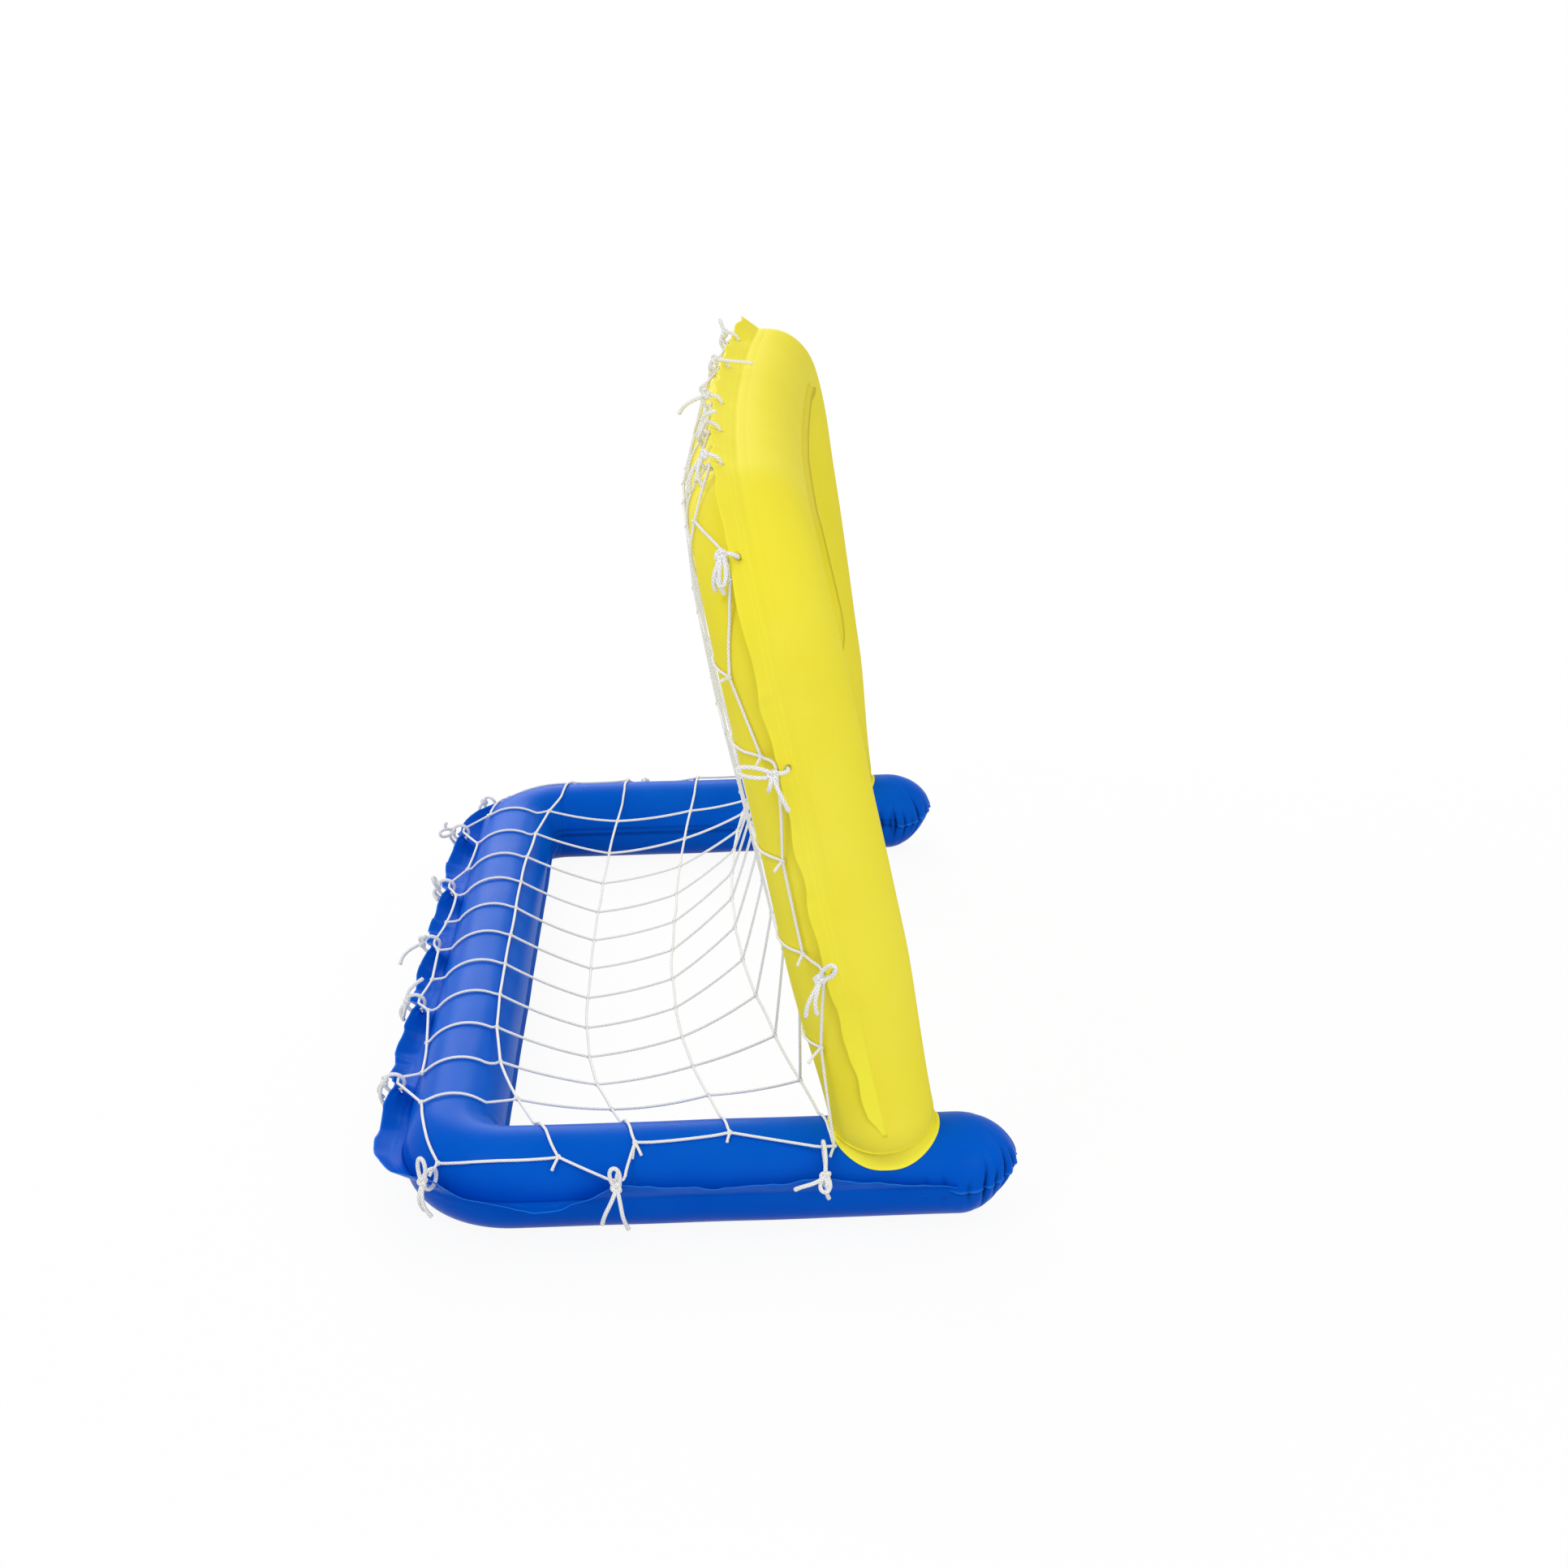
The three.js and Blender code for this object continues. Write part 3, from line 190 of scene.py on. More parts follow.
# A smooth curve through points: cubic pieces whose slopes are those of the neighbours
def smoothPath(points, step, closed=False):
    points = np.asarray(points, float)
    if closed:
        points = np.concatenate([points[-2:], points, points[:3]])
    t = np.concatenate([[0], np.cumsum(np.linalg.norm(np.diff(points, axis=0), axis=1))])
    slopes = np.gradient(points, t, axis=0)
    begin, end = (t[2], t[-3]) if closed else (t[0], t[-1])
    count = max(3, int(round((end - begin) / step)) + 1)
    at = np.linspace(begin, end, count)
    at = at[:-1] if closed else at
    i = np.clip(np.searchsorted(t, at, side="right") - 1, 0, len(t) - 2)
    h = (t[i + 1] - t[i])[:, None]
    s = (at[:, None] - t[i][:, None]) / h
    return ((2 * s**3 - 3 * s**2 + 1) * points[i] + (s**3 - 2 * s**2 + s) * h * slopes[i]
            + (-2 * s**3 + 3 * s**2) * points[i + 1] + (s**3 - s**2) * h * slopes[i + 1])


# A round cord along a path: rings square to it, then a dome at each free end; u goes round and v is
# the length in millimetres
def addCord(shape, path, radius, sides=8, closed=False, dome=0.4):
    if closed:
        heading = unit(np.roll(path, -1, 0) - np.roll(path, 1, 0))
    else:
        heading = unit(np.gradient(path, axis=0))
    flat = np.linalg.svd(path - path.mean(0))[2][2]  # square to the path's plane
    first = flat - (heading @ flat)[:, None] * heading
    isClear = np.linalg.norm(first, axis=1, keepdims=True) > 0.05
    first = unit(np.where(isClear, first, up))
    second = np.cross(heading, first)
    angle = roundTurns(sides)[None, :, None]
    reach = np.broadcast_to(np.asarray(radius, float), len(path))[:, None, None]
    spoke = np.cos(angle) * first[:, None] + np.sin(angle) * second[:, None]
    grid = path[:, None] + reach * spoke
    length = np.concatenate([[0], np.cumsum(np.linalg.norm(np.diff(path, axis=0), axis=1))])
    if closed:
        length = np.append(length, length[-1] + np.linalg.norm(path[0] - path[-1]))
    ids = addGrid(shape, grid, v=length, wrapAlong=closed)
    if not closed:
        addFan(shape, ids[0], path[0] - heading[0] * reach[0, 0] * dome, True)
        addFan(shape, ids[-1], path[-1] + heading[-1] * reach[-1, 0] * dome, False)


# Path of straight lines with rounded corners, with a point every few millimetres
def roundedPath(corners, radius, step=5):
    places, headings = [], []
    start = np.array(corners[0], float)
    for i in range(1, len(corners)):
        corner = np.array(corners[i], float)
        heading = unit(corner - np.array(corners[i - 1], float))
        end = corner
        if i + 1 < len(corners):
            after = unit(np.array(corners[i + 1], float) - corner)
            turn = np.arccos(heading @ after)
            end = corner - heading * radius * np.tan(turn / 2)
        count = int(np.linalg.norm(end - start) / step) + 1
        share = np.linspace(0, 1, count, endpoint=i + 1 == len(corners))[:, None]
        places.append(mix(start, end, share))
        headings.append(np.broadcast_to(heading, (count, 2)))
        if i + 1 < len(corners):
            inward = np.array([-heading[1], heading[0]])
            angle = np.linspace(0, turn, int(radius * turn / step) + 2, endpoint=False)[:, None]
            places.append(end + radius * (np.sin(angle) * heading + (1 - np.cos(angle)) * inward))
            headings.append(np.cos(angle) * heading + np.sin(angle) * inward)
            start = end + radius * (np.sin(turn) * heading + (1 - np.cos(turn)) * inward)
    return np.concatenate(places), np.concatenate(headings)


# Distance along a tube is zero at its middle and grows towards the near side, -X
def measured(tube):
    steps = np.linalg.norm(np.diff(tube["centre"], axis=0), axis=1)
    along = np.concatenate([[0], np.cumsum(steps)])
    tube["along"] = along - along[-1] / 2
    tube["tangent"] = unit(np.gradient(tube["centre"], tube["along"], axis=0))
    return tube


# Base: two arms and the rear bar, lying flat
def baseTube():
    arm = goal["armLength"]
    place, heading = roundedPath([(halfSpacing, -arm), (halfSpacing, 0), (-halfSpacing, 0),
                                  (-halfSpacing, -arm)], goal["baseCornerRadius"])
    zero = np.zeros(len(place))
    return measured({
        "centre": np.stack([place[:, 0], place[:, 1], zero + axisHeight], 1),
        "outward": np.stack([heading[:, 1], -heading[:, 0], zero], 1),
        "side": np.broadcast_to(up, (len(place), 3)),
        "radius": zero + goal["baseRadius"],
    })


# The arch leans back, a little more on the near side: leanAngle - leanTwist x / halfSpacing
def leanAt(x):
    return np.radians(goal["leanAngle"] - goal["leanTwist"] * x / halfSpacing)


# A point of the arch: up along the lean, and bowed backwards by (1 - x^2) height^2 in shares
def archPoint(x, height):
    lean = leanAt(x)
    bow = goal["barBow"] * (1 - (x / halfSpacing) ** 2) * (height / goal["archHeight"]) ** 2
    return np.stack([x, -goal["footReach"] + height * np.sin(lean) + bow,
                     axisHeight + goal["footLift"] + height * np.cos(lean)], -1)


# The foot is a quarter ellipse up to its shoulder, then the post swells up to the arch's radius
def archRadiusAt(height):
    shoulder, tuck = goal["footShoulder"], goal["footTuck"]
    share = np.clip((shoulder - height) / (shoulder + tuck), 0, 1)
    foot = mix(goal["footRimRadius"], goal["footRadius"], np.sqrt(1 - share**2))
    swell = np.clip((height - shoulder) / (goal["swellHeight"] - shoulder), 0, 1)
    swollen = mix(goal["footRadius"], goal["archRadius"], swell * swell * (3 - 2 * swell))
    return np.where(height < shoulder, foot, swollen)


# Arch: two posts and the bar, laid out upright and then leaned back
def archTube():
    tall, tuck = goal["archHeight"], goal["footTuck"]
    spread = (goal["armSpacing"] - goal["archTopWidth"]) / 2
    footX = halfSpacing + spread * tuck / tall
    topX = goal["archTopWidth"] / 2
    place, heading = roundedPath([(footX, -tuck), (topX, tall), (-topX, tall), (-footX, -tuck)],
                                 goal["archCornerRadius"])
    lean = leanAt(place[:, 0])
    zero = np.zeros(len(place))
    upPlane = np.stack([zero, np.sin(lean), np.cos(lean)], 1)
    across = np.array([1.0, 0, 0])
    return measured({
        "centre": archPoint(place[:, 0], place[:, 1]),
        "outward": heading[:, 1:] * across - heading[:, :1] * upPlane,
        "side": np.stack([zero, np.cos(lean), -np.sin(lean)], 1),
        "radius": archRadiusAt(place[:, 1]),
    })


# Everything about a tube at any distances along it
def tubeAt(tube, along):
    along = np.atleast_1d(np.asarray(along, float))
    found = {"along": along, "radius": np.interp(along, tube["along"], tube["radius"])}
    for key in ("centre", "outward", "side", "tangent"):
        parts = [np.interp(along, tube["along"], tube[key][:, k]) for k in range(3)]
        found[key] = np.stack(parts, 1)
    found["tangent"] = unit(found["tangent"])
    return found


base = baseTube()
arch = archTube()
print("tubes measured:", round(np.ptp(base["along"])), round(np.ptp(arch["along"])), "mm")

rearStraight = halfSpacing - goal["baseCornerRadius"]  # half of each straight bar
barStraight = goal["archTopWidth"] / 2 - goal["archCornerRadius"]
legFrom = {"base": rearStraight + 20, "arch": barStraight + 60}  # a leg is looked for past this


# Distance along one leg of a tube where its centre reaches a value on one axis
def alongWhere(tube, axis, value, sign, beyond):
    leg = sign * tube["along"] > beyond
    spots, alongs = tube["centre"][leg, axis], tube["along"][leg]
    order = np.argsort(spots)
    return float(np.interp(value, spots[order], alongs[order]))


# Rear bar: 1 is level with the near arm, -1 with the far one
def onRear(share):
    return share * halfSpacing


# Arm, as a share of its length
def onArm(share, sign):
    return alongWhere(base, 1, -share * goal["armLength"], sign, legFrom["base"])


# Arm, as a share of the way to the post's foot
def behindPost(share, sign):
    return alongWhere(base, 1, -share * goal["footReach"], sign, legFrom["base"])


# Base corner, from the rear bar at 0 to the arm at 1
def onCorner(share, sign):
    arcEnd = alongWhere(base, 1, -goal["baseCornerRadius"], sign, legFrom["base"])
    return mix(sign * rearStraight, arcEnd, share)


# Arch's bar: 1 is its near end, -1 its far one
def onBar(share):
    return share * goal["archTopWidth"] / 2


# Post, as a share of the arch's height
def onPost(share, sign):
    rise = share * goal["archHeight"] * np.cos(leanAt(-sign * halfSpacing))
    return alongWhere(arch, 2, axisHeight + goal["footLift"] + rise, sign, legFrom["arch"])


# Arch corner, from the bar at 0 to the post at 1
def onArchCorner(share, sign):
    postEnd = onPost(1 - goal["archCornerRadius"] / goal["archHeight"], sign)
    return mix(sign * barStraight, postEnd, share)


# Seam flaps. A row: place along the tube, tilt in degrees, width, sag in degrees before the next
# row, and how ruffled the flap is, where 1 is most
flapSizes = {"seat": 0.5, "tiltSeat": 0.6, "thick": 0.8, "ripple": 2.5, "rippleLength": 87,
             "eyeletMargin": 12, "hole": 4.6, "holeBlock": 4, "holeSlack": 0.5, "blend": 13,
             "marks": [-13, -9.5, -6.5, -4, -2, 0, 2, 4, 6.5, 9.5, 13], "markReach": 15,
             "edgeBlock": 16, "edgeLines": 9, "rootLines": 7, "fullWidth": 28, "step": 5,
             "ringOut": 1.6, "ringRadius": 0.8, "ringSides": 28}
flapEnd, rearFlap, armFlap, tipFlap = 3, 42, 35, 12
topFlap, postFlap, footFlap = 34, 30, 16
armTaper, postTaper = (armFlap + tipFlap) / 2, (postFlap + footFlap) / 2
baseRows = np.array([
    [onArm(0.995, -1), 20, flapEnd, 0, 0], [onArm(0.97, -1), 40, tipFlap, 0, 0.2],
    [onArm(0.83, -1), 50, armTaper, 0, 0.3], [behindPost(0.729, -1), 58, armFlap, 14, 0.4],
    [behindPost(0.394, -1), 58, armFlap, 50, 0.5], [onCorner(0.4, -1), 56, armFlap, 24, 0.8],
    [onRear(-0.786), 56, rearFlap, 46, 1], [onRear(-0.4), 56, rearFlap, 42, 1],
    [onRear(-0.045), 56, rearFlap, 46, 1], [onRear(0.285), 56, rearFlap, 44, 1],
    [onRear(0.68), 56, rearFlap, 46, 1], [onCorner(0.6, 1), 56, armFlap, 50, 0.45],
    [behindPost(0.394, 1), 58, armFlap, 14, 0.3], [behindPost(0.856, 1), 58, armFlap, 0, 0.25],
    [onArm(0.83, 1), 50, armTaper, 0, 0.3], [onArm(0.97, 1), 40, tipFlap, 0, 0.2],
    [onArm(0.995, 1), 20, flapEnd, 0, 0],
])
archRows = np.array([
    [onPost(0.03, -1), 84, flapEnd, 0, 0], [onPost(0.07, -1), 80, footFlap, 0, 0.1],
    [onPost(0.2, -1), 74, postTaper, 0, 0.2], [onPost(0.29, -1), 65, postFlap, -12, 0.3],
    [onPost(0.655, -1), 65, postFlap, -12, 0.3], [onArchCorner(0.5, -1), 65, topFlap, 22, 0.3],
    [onBar(-0.577), 65, topFlap, 12, 0.1], [onBar(-0.214), 65, topFlap, 8, 0.1],
    [onBar(0.206), 65, topFlap, 6, 0.1], [onBar(0.495), 65, topFlap, 6, 0.1],
    [onBar(0.79), 65, topFlap, 8, 0.4], [onArchCorner(0.55, 1), 65, topFlap, -12, 0.5],
    [onPost(0.685, 1), 65, postFlap, -12, 0.2], [onPost(0.34, 1), 65, postFlap, 0, 0.2],
    [onPost(0.2, 1), 74, postTaper, 0, 0.1], [onPost(0.07, 1), 80, footFlap, 0, 0.1],
    [onPost(0.03, 1), 84, flapEnd, 0, 0],
])

tieCord = {"radius": 2.6, "solidHalf": 2.5, "sides": 10, "step": 2.5, "archTight": 0.66,
           "loopRadius": 13, "loopSides": 8, "loopSway": 1.0, "knotSize": 1.9, "knotDepth": 1.25,
           "tailLift": 7, "tailDroop": 0.12, "tailWave": 1.8, "tailTurn": 5, "melted": 0.12,
           "meltedLength": 1.2, "bowWidth": 13, "bowNeck": 0.75, "bowSwell": 0.35}
netCord = {"radius": 1.9, "solidHalf": 2, "gap": 0.3, "lift": 1.2, "off": 0.6, "slack": 0.03,
           "tightSlack": 0.006, "sway": 0.008, "spacing": 9, "step": 7, "tieStraight": 8}
strandHalf = netCord["solidHalf"] * np.sqrt(2)  # a strand's solid is square and may stand on edge

# A tie's loop and its knot, as distances from the eyelet along the flap and towards the tube. The
# net's border cord lies inside the loop, against its side nearer the tube
borderOffset = (tieCord["loopRadius"] * np.cos(np.pi / tieCord["loopSides"])
                - tieCord["solidHalf"] - strandHalf - netCord["gap"])
loopTurn = roundTurns(24)
roundLoop = {
    "path": tieCord["loopRadius"] * np.stack([1 + np.cos(loopTurn), np.sin(loopTurn)], 1),
    "knot": (22.2, -9.2), "border": (tieCord["loopRadius"], borderOffset),
}
footLoop = {
    "path": np.array([[-2, 1.5], [-0.5, 14], [5.5, 29], [10.5, 43.5], [16, 48.8], [22, 42],
                      [17.5, 18], [15.6, 0.5], [11, -4.8], [2.5, -5], [-2, -2]]),
    "knot": (21, -3), "border": (16, 41.8),
}

# Ties: tube, place, loop, then tails and bows as (degrees from straight down, length in
# millimetres, degrees leaning out of the upright plane)
ties = {
    "tie_far_foot": ("base", behindPost(0.729, -1), footLoop, [(-20, 46, 0), (24, 40, 0)], []),
    "tie_far_arm": ("base", behindPost(0.394, -1), roundLoop, [(-14, 48, 0), (18, 52, 0)], []),
    "tie_far_corner": ("base", onCorner(0.4, -1), roundLoop, [(-30, 34, 0), (30, 30, 0)], []),
    "tie_rear_1": ("base", onRear(-0.786), roundLoop, [(-35, 32, 0), (150, 26, 20)],
                        [(100, 26, 30)]),
    "tie_rear_2": ("base", onRear(-0.4), roundLoop, [(-25, 26, 0), (40, 22, 0)], [(160, 18, 0)]),
    "tie_rear_3": ("base", onRear(-0.045), roundLoop, [(60, 46, 45), (150, 22, -20)], []),
    "tie_rear_4": ("base", onRear(0.285), roundLoop, [(10, 28, 10), (-170, 44, -35)], [(0, 26, 0)]),
    "tie_rear_5": ("base", onRear(0.68), roundLoop, [(12, 34, 0), (-22, 30, 10)], []),
    "tie_near_corner": ("base", onCorner(0.6, 1), roundLoop, [(12, 46, 0), (-2, 40, 0)],
                        [(176, 34, -8)]),
    "tie_near_arm": ("base", behindPost(0.394, 1), roundLoop, [(-24, 50, 4), (12, 56, 4)],
                        [(-174, 28, -10)]),
    "tie_near_foot": ("base", behindPost(0.856, 1), footLoop, [(-78, 40, 10), (6, 30, 0)],
                        [(-8, 16, 20)]),
    "tie_far_post_3": ("arch", onPost(0.29, -1), roundLoop, [(-16, 46, 0), (14, 50, 0)], []),
    "tie_far_post_2": ("arch", onPost(0.655, -1), roundLoop, [(-20, 40, 0), (16, 48, 0)], []),
    "tie_far_post_1": ("arch", onArchCorner(0.5, -1), roundLoop, [(-34, 30, 0), (20, 30, 0)], []),
    "tie_top_1": ("arch", onBar(-0.577), roundLoop, [(-30, 30, -20), (4, 26, 0)], [(-160, 20, 0)]),
    "tie_top_2": ("arch", onBar(-0.214), roundLoop, [(100, 56, -76), (-18, 26, 0)], []),
    "tie_top_3": ("arch", onBar(0.206), roundLoop, [(20, 42, 62), (165, 18, 0)], []),
    "tie_top_4": ("arch", onBar(0.495), roundLoop, [(10, 30, 0), (150, 28, -35)], [(20, 22, 0)]),
    "tie_top_5": ("arch", onBar(0.79), roundLoop, [(10, 46, 24), (30, 36, 6)], []),
    "tie_near_post_1": ("arch", onArchCorner(0.55, 1), roundLoop, [(4, 46, 0), (-12, 44, 0)],
                        [(6, 36, 0)]),
    "tie_near_post_2": ("arch", onPost(0.685, 1), roundLoop, [(26, 44, 0), (-14, 20, 0)],
                        [(-98, 42, 4)]),
    "tie_near_post_3": ("arch", onPost(0.34, 1), roundLoop, [(-22, 50, 4), (-6, 44, 4)],
                        [(138, 32, 4)]),
}
tubes = {"base": (base, baseRows), "arch": (arch, archRows)}


# The flap's root, direction, normal and width at distances along its tube: the values of its rows
# blended evenly, with a sag and a ripple that are nought at each row, as sin(pi share)
def flapAt(tube, rows, along):
    found = tubeAt(tube, along)
    along = found["along"]
    i = np.clip(np.searchsorted(rows[:, 0], along) - 1, 0, len(rows) - 2)
    share = np.clip((along - rows[i, 0]) / (rows[i + 1, 0] - rows[i, 0]), 0, 1)
    swing = np.sin(np.pi * share)
    tilt = np.radians(mix(rows[i, 1], rows[i + 1, 1], share) - rows[i, 3] * swing)
    wave = flapSizes["ripple"] * np.sin(2 * np.pi * along / flapSizes["rippleLength"]) * swing
    c, s = np.cos(tilt)[:, None], np.sin(tilt)[:, None]
    seat = flapSizes["seat"] + flapSizes["tiltSeat"] * np.abs(np.sin(tilt))
    standoff = found["radius"] * facetShare + seat
    found.update(
        root=found["centre"] + found["outward"] * standoff[:, None],
        direction=found["outward"] * c + found["side"] * s,
        normal=-found["outward"] * s + found["side"] * c,
        width=mix(rows[i, 2], rows[i + 1, 2], share) + wave,
        ruffle=mix(rows[i, 4], rows[i + 1, 4], share))
    return found


# A tie's eyelet, with the flap's directions there; further moves the place along the tube
def tieAt(name, further=0):
    tubeName, along = ties[name][:2]
    found = {key: value[0] for key, value in flapAt(*tubes[tubeName], [along + further]).items()}
    out = found["width"] - flapSizes["eyeletMargin"]
    found["eyelet"] = found["root"] + found["direction"] * out
    found["tight"] = tieCord["archTight"] if tubeName == "arch" else 1
    return found


# The loops of the arch are drawn tighter than round ones
def inLoop(found, point):
    outwards, inwards = np.asarray(point, float).T[..., None]
    return (found["eyelet"] + found["direction"] * outwards
            + found["normal"] * inwards * found["tight"])


# Where a tie's loop holds the net's border cord
def borderPoint(name, further=0):
    return inLoop(tieAt(name, further), ties[name][2]["border"])


# Hex colour to linear light: v / 12.92 up to 0.04045, then ((v + 0.055) / 1.055)^2.4
def linear(hexColour):
    value = np.array([int(hexColour[k:k + 2], 16) for k in (1, 3, 5)]) / 255
    value = np.where(value <= 0.04045, value / 12.92, ((value + 0.055) / 1.055) ** 2.4)
    return (*value, 1)


# Adds a node with its settings; an input that is given another node's output is linked to it
def addNode(tree, kind, inputs=None, **settings):
    node = tree.nodes.new(kind)
    for key, value in settings.items():
        setattr(node, key, value)
    for key, value in (inputs or {}).items():
        if isinstance(value, bpy.types.NodeSocket):
            tree.links.new(value, node.inputs[key])
        else:
            node.inputs[key].default_value = value
    return node


# A material with an empty node tree
def newMaterial(name):
    material = bpy.data.materials.new(name)
    material.use_nodes = True
    tree = material.node_tree
    tree.nodes.clear()
    return material, tree


# Calendered PVC film, welded and inflated: a satin skin, with a faint grain from the rollers, fine
# draw lines along the tube, clouds where the film is a little hazy, painted highlights on welds and
# edges, and painted shade in creases and valleys
def pvcFilm(name, look):
    material, tree = newMaterial(name)
    place = addNode(tree, "ShaderNodeTexCoord")
    cloud = addNode(tree, "ShaderNodeTexNoise", {"Vector": place.outputs["Object"],
                    "Scale": perMetre / look["cloudSize"], "Detail": 3, "Roughness": 0.5})
    haze = addNode(tree, "ShaderNodeMapRange", {"Value": cloud.outputs["Fac"], "From Min": 0.4,
                   "From Max": 0.75, "To Min": 0, "To Max": look["haze"]})
    hazed = addNode(tree, "ShaderNodeMix", {"Factor": haze.outputs["Result"],
                    6: linear(look["colour"]), 7: linear(look["pale"])}, data_type="RGBA")
    # Painted light per point: positive mixes in the painted highlight's colour, negative the
    # painted shade's
    seam = addNode(tree, "ShaderNodeAttribute", attribute_name="paintedLight")
    paintedHighlight = addNode(tree, "ShaderNodeMix", {"Factor": seam.outputs["Fac"], 6: hazed.outputs[2],
                     7: linear(look["paintedLight"])}, data_type="RGBA")
    shadeShare = addNode(tree, "ShaderNodeMath", {0: seam.outputs["Fac"], 1: -1.0}, operation="MULTIPLY")
    paintedShade = addNode(tree, "ShaderNodeMix", {"Factor": shadeShare.outputs[0], 6: paintedHighlight.outputs[2],
                     7: linear(look["creaseShade"])}, data_type="RGBA")
    lay = addNode(tree, "ShaderNodeMapping", {"Vector": place.outputs["UV"],
                  "Scale": (1 / look["drawWidth"], 1 / look["drawLength"], 1)})
    draw = addNode(tree, "ShaderNodeTexNoise", {"Vector": lay.outputs["Vector"], "Scale": 1,
                   "Detail": 2})
    grain = addNode(tree, "ShaderNodeTexNoise", {"Vector": place.outputs["Object"],
                    "Scale": perMetre / look["grainSize"], "Detail": 1})
    drawBump = addNode(tree, "ShaderNodeBump", {"Height": draw.outputs["Fac"],
                       "Strength": look["drawStrength"], "Distance": 1 / perMetre})
    grainBump = addNode(tree, "ShaderNodeBump", {"Height": grain.outputs["Fac"],
                        "Strength": look["grainStrength"], "Distance": 0.3 / perMetre,
                        "Normal": drawBump.outputs["Normal"]})
    rough = addNode(tree, "ShaderNodeMapRange", {"Value": cloud.outputs["Fac"], "From Min": 0.3,
                    "From Max": 0.8, "To Min": look["smooth"], "To Max": look["rough"]})
    film = addNode(tree, "ShaderNodeBsdfPrincipled", {
        "Base Color": paintedShade.outputs[2], "Roughness": rough.outputs["Result"],
        "Normal": grainBump.outputs["Normal"], "IOR": 1.53, "Specular IOR Level": look["shine"]})
    addNode(tree, "ShaderNodeOutputMaterial", {"Surface": film.outputs["BSDF"]})
    return material


# Braided polypropylene cord: matte and nearly white, with two sets of strands that cross, and
# painted shade in the gaps between them
def braidedCord(name, look):
    material, tree = newMaterial(name)
    place = addNode(tree, "ShaderNodeTexCoord")
    axes = addNode(tree, "ShaderNodeSeparateXYZ", {"Vector": place.outputs["UV"]})
    aroundIt = addNode(tree, "ShaderNodeMath", {0: axes.outputs["X"],
                       1: 2 * np.pi * look["strands"]}, operation="MULTIPLY")
    alongIt = addNode(tree, "ShaderNodeMath", {0: axes.outputs["Y"], 1: 2 * np.pi / look["pitch"]},
                      operation="MULTIPLY")
    waves = []
    for operation in ("ADD", "SUBTRACT"):
        crossing = addNode(tree, "ShaderNodeMath", {0: aroundIt.outputs[0], 1: alongIt.outputs[0]},
                           operation=operation)
        waves.append(addNode(tree, "ShaderNodeMath", {0: crossing.outputs[0]}, operation="SINE"))
    braid = addNode(tree, "ShaderNodeMath", {0: waves[0].outputs[0], 1: waves[1].outputs[0]},
                    operation="MAXIMUM")
    fuzz = addNode(tree, "ShaderNodeTexNoise", {"Vector": place.outputs["Object"],
                   "Scale": perMetre / look["fuzzSize"], "Detail": 2})
    # The darker gap colour is painted shade between the strands
    tone = addNode(tree, "ShaderNodeMapRange", {"Value": braid.outputs[0], "From Min": -0.6,
                   "From Max": 0.5, "To Min": 0, "To Max": 1})
    shade = addNode(tree, "ShaderNodeMix", {"Factor": tone.outputs["Result"],
                    6: linear(look["gap"]), 7: linear(look["colour"])}, data_type="RGBA")
    braidBump = addNode(tree, "ShaderNodeBump", {"Height": braid.outputs[0], "Strength": 0.7,
                        "Distance": look["relief"] / perMetre})
    fuzzBump = addNode(tree, "ShaderNodeBump", {"Height": fuzz.outputs["Fac"], "Strength": 0.3,
                       "Distance": 0.4 / perMetre, "Normal": braidBump.outputs["Normal"]})
    cord = addNode(tree, "ShaderNodeBsdfPrincipled", {
        "Base Color": shade.outputs[2], "Roughness": 0.72, "Normal": fuzzBump.outputs["Normal"],
        "Sheen Weight": 0.5, "Sheen Roughness": 0.4})
    addNode(tree, "ShaderNodeOutputMaterial", {"Surface": cord.outputs["BSDF"]})
    return material


# Moulded soft PVC of the valves: clear but milky, with a fine moulded grain
def valvePvc(name, look):
    material, tree = newMaterial(name)
    place = addNode(tree, "ShaderNodeTexCoord")
    grain = addNode(tree, "ShaderNodeTexNoise", {"Vector": place.outputs["Object"],
                    "Scale": perMetre / look["grainSize"], "Detail": 2})
    bump = addNode(tree, "ShaderNodeBump", {"Height": grain.outputs["Fac"], "Strength": 0.15,
                   "Distance": 0.2 / perMetre})
    rough = addNode(tree, "ShaderNodeMapRange", {"Value": grain.outputs["Fac"], "To Min": 0.22,
                    "To Max": 0.42})
    soft = addNode(tree, "ShaderNodeBsdfPrincipled", {
        "Base Color": linear(look["colour"]), "Roughness": rough.outputs["Result"],
        "Normal": bump.outputs["Normal"], "Transmission Weight": 0.35, "IOR": 1.53})
    addNode(tree, "ShaderNodeOutputMaterial", {"Surface": soft.outputs["BSDF"]})
    return material


# Sizes in millimetres, but drawWidth, which is in metres as u is. The blue film is the shinier one
# The brightest colour of each film is a painted highlight and the darkest is painted shade
bluePvc = pvcFilm("bluePvcFilm", {
    "colour": "#0058cc", "pale": "#0c66d8", "paintedLight": "#2484f0", "creaseShade": "#001c5c", "haze": 0.5,
    "cloudSize": 130, "drawWidth": 0.02, "drawLength": 180, "drawStrength": 0.12, "grainSize": 1.4,
    "grainStrength": 0.12, "smooth": 0.26, "rough": 0.36, "shine": 0.02})
yellowPvc = pvcFilm("yellowPvcFilm", {
    "colour": "#f4e63e", "pale": "#f8ee58", "paintedLight": "#fbf648", "creaseShade": "#c9bb28", "haze": 0.5,
    "cloudSize": 150, "drawWidth": 0.02, "drawLength": 220, "drawStrength": 0.1, "grainSize": 1.4,
    "grainStrength": 0.12, "smooth": 0.5, "rough": 0.62, "shine": 0.012})
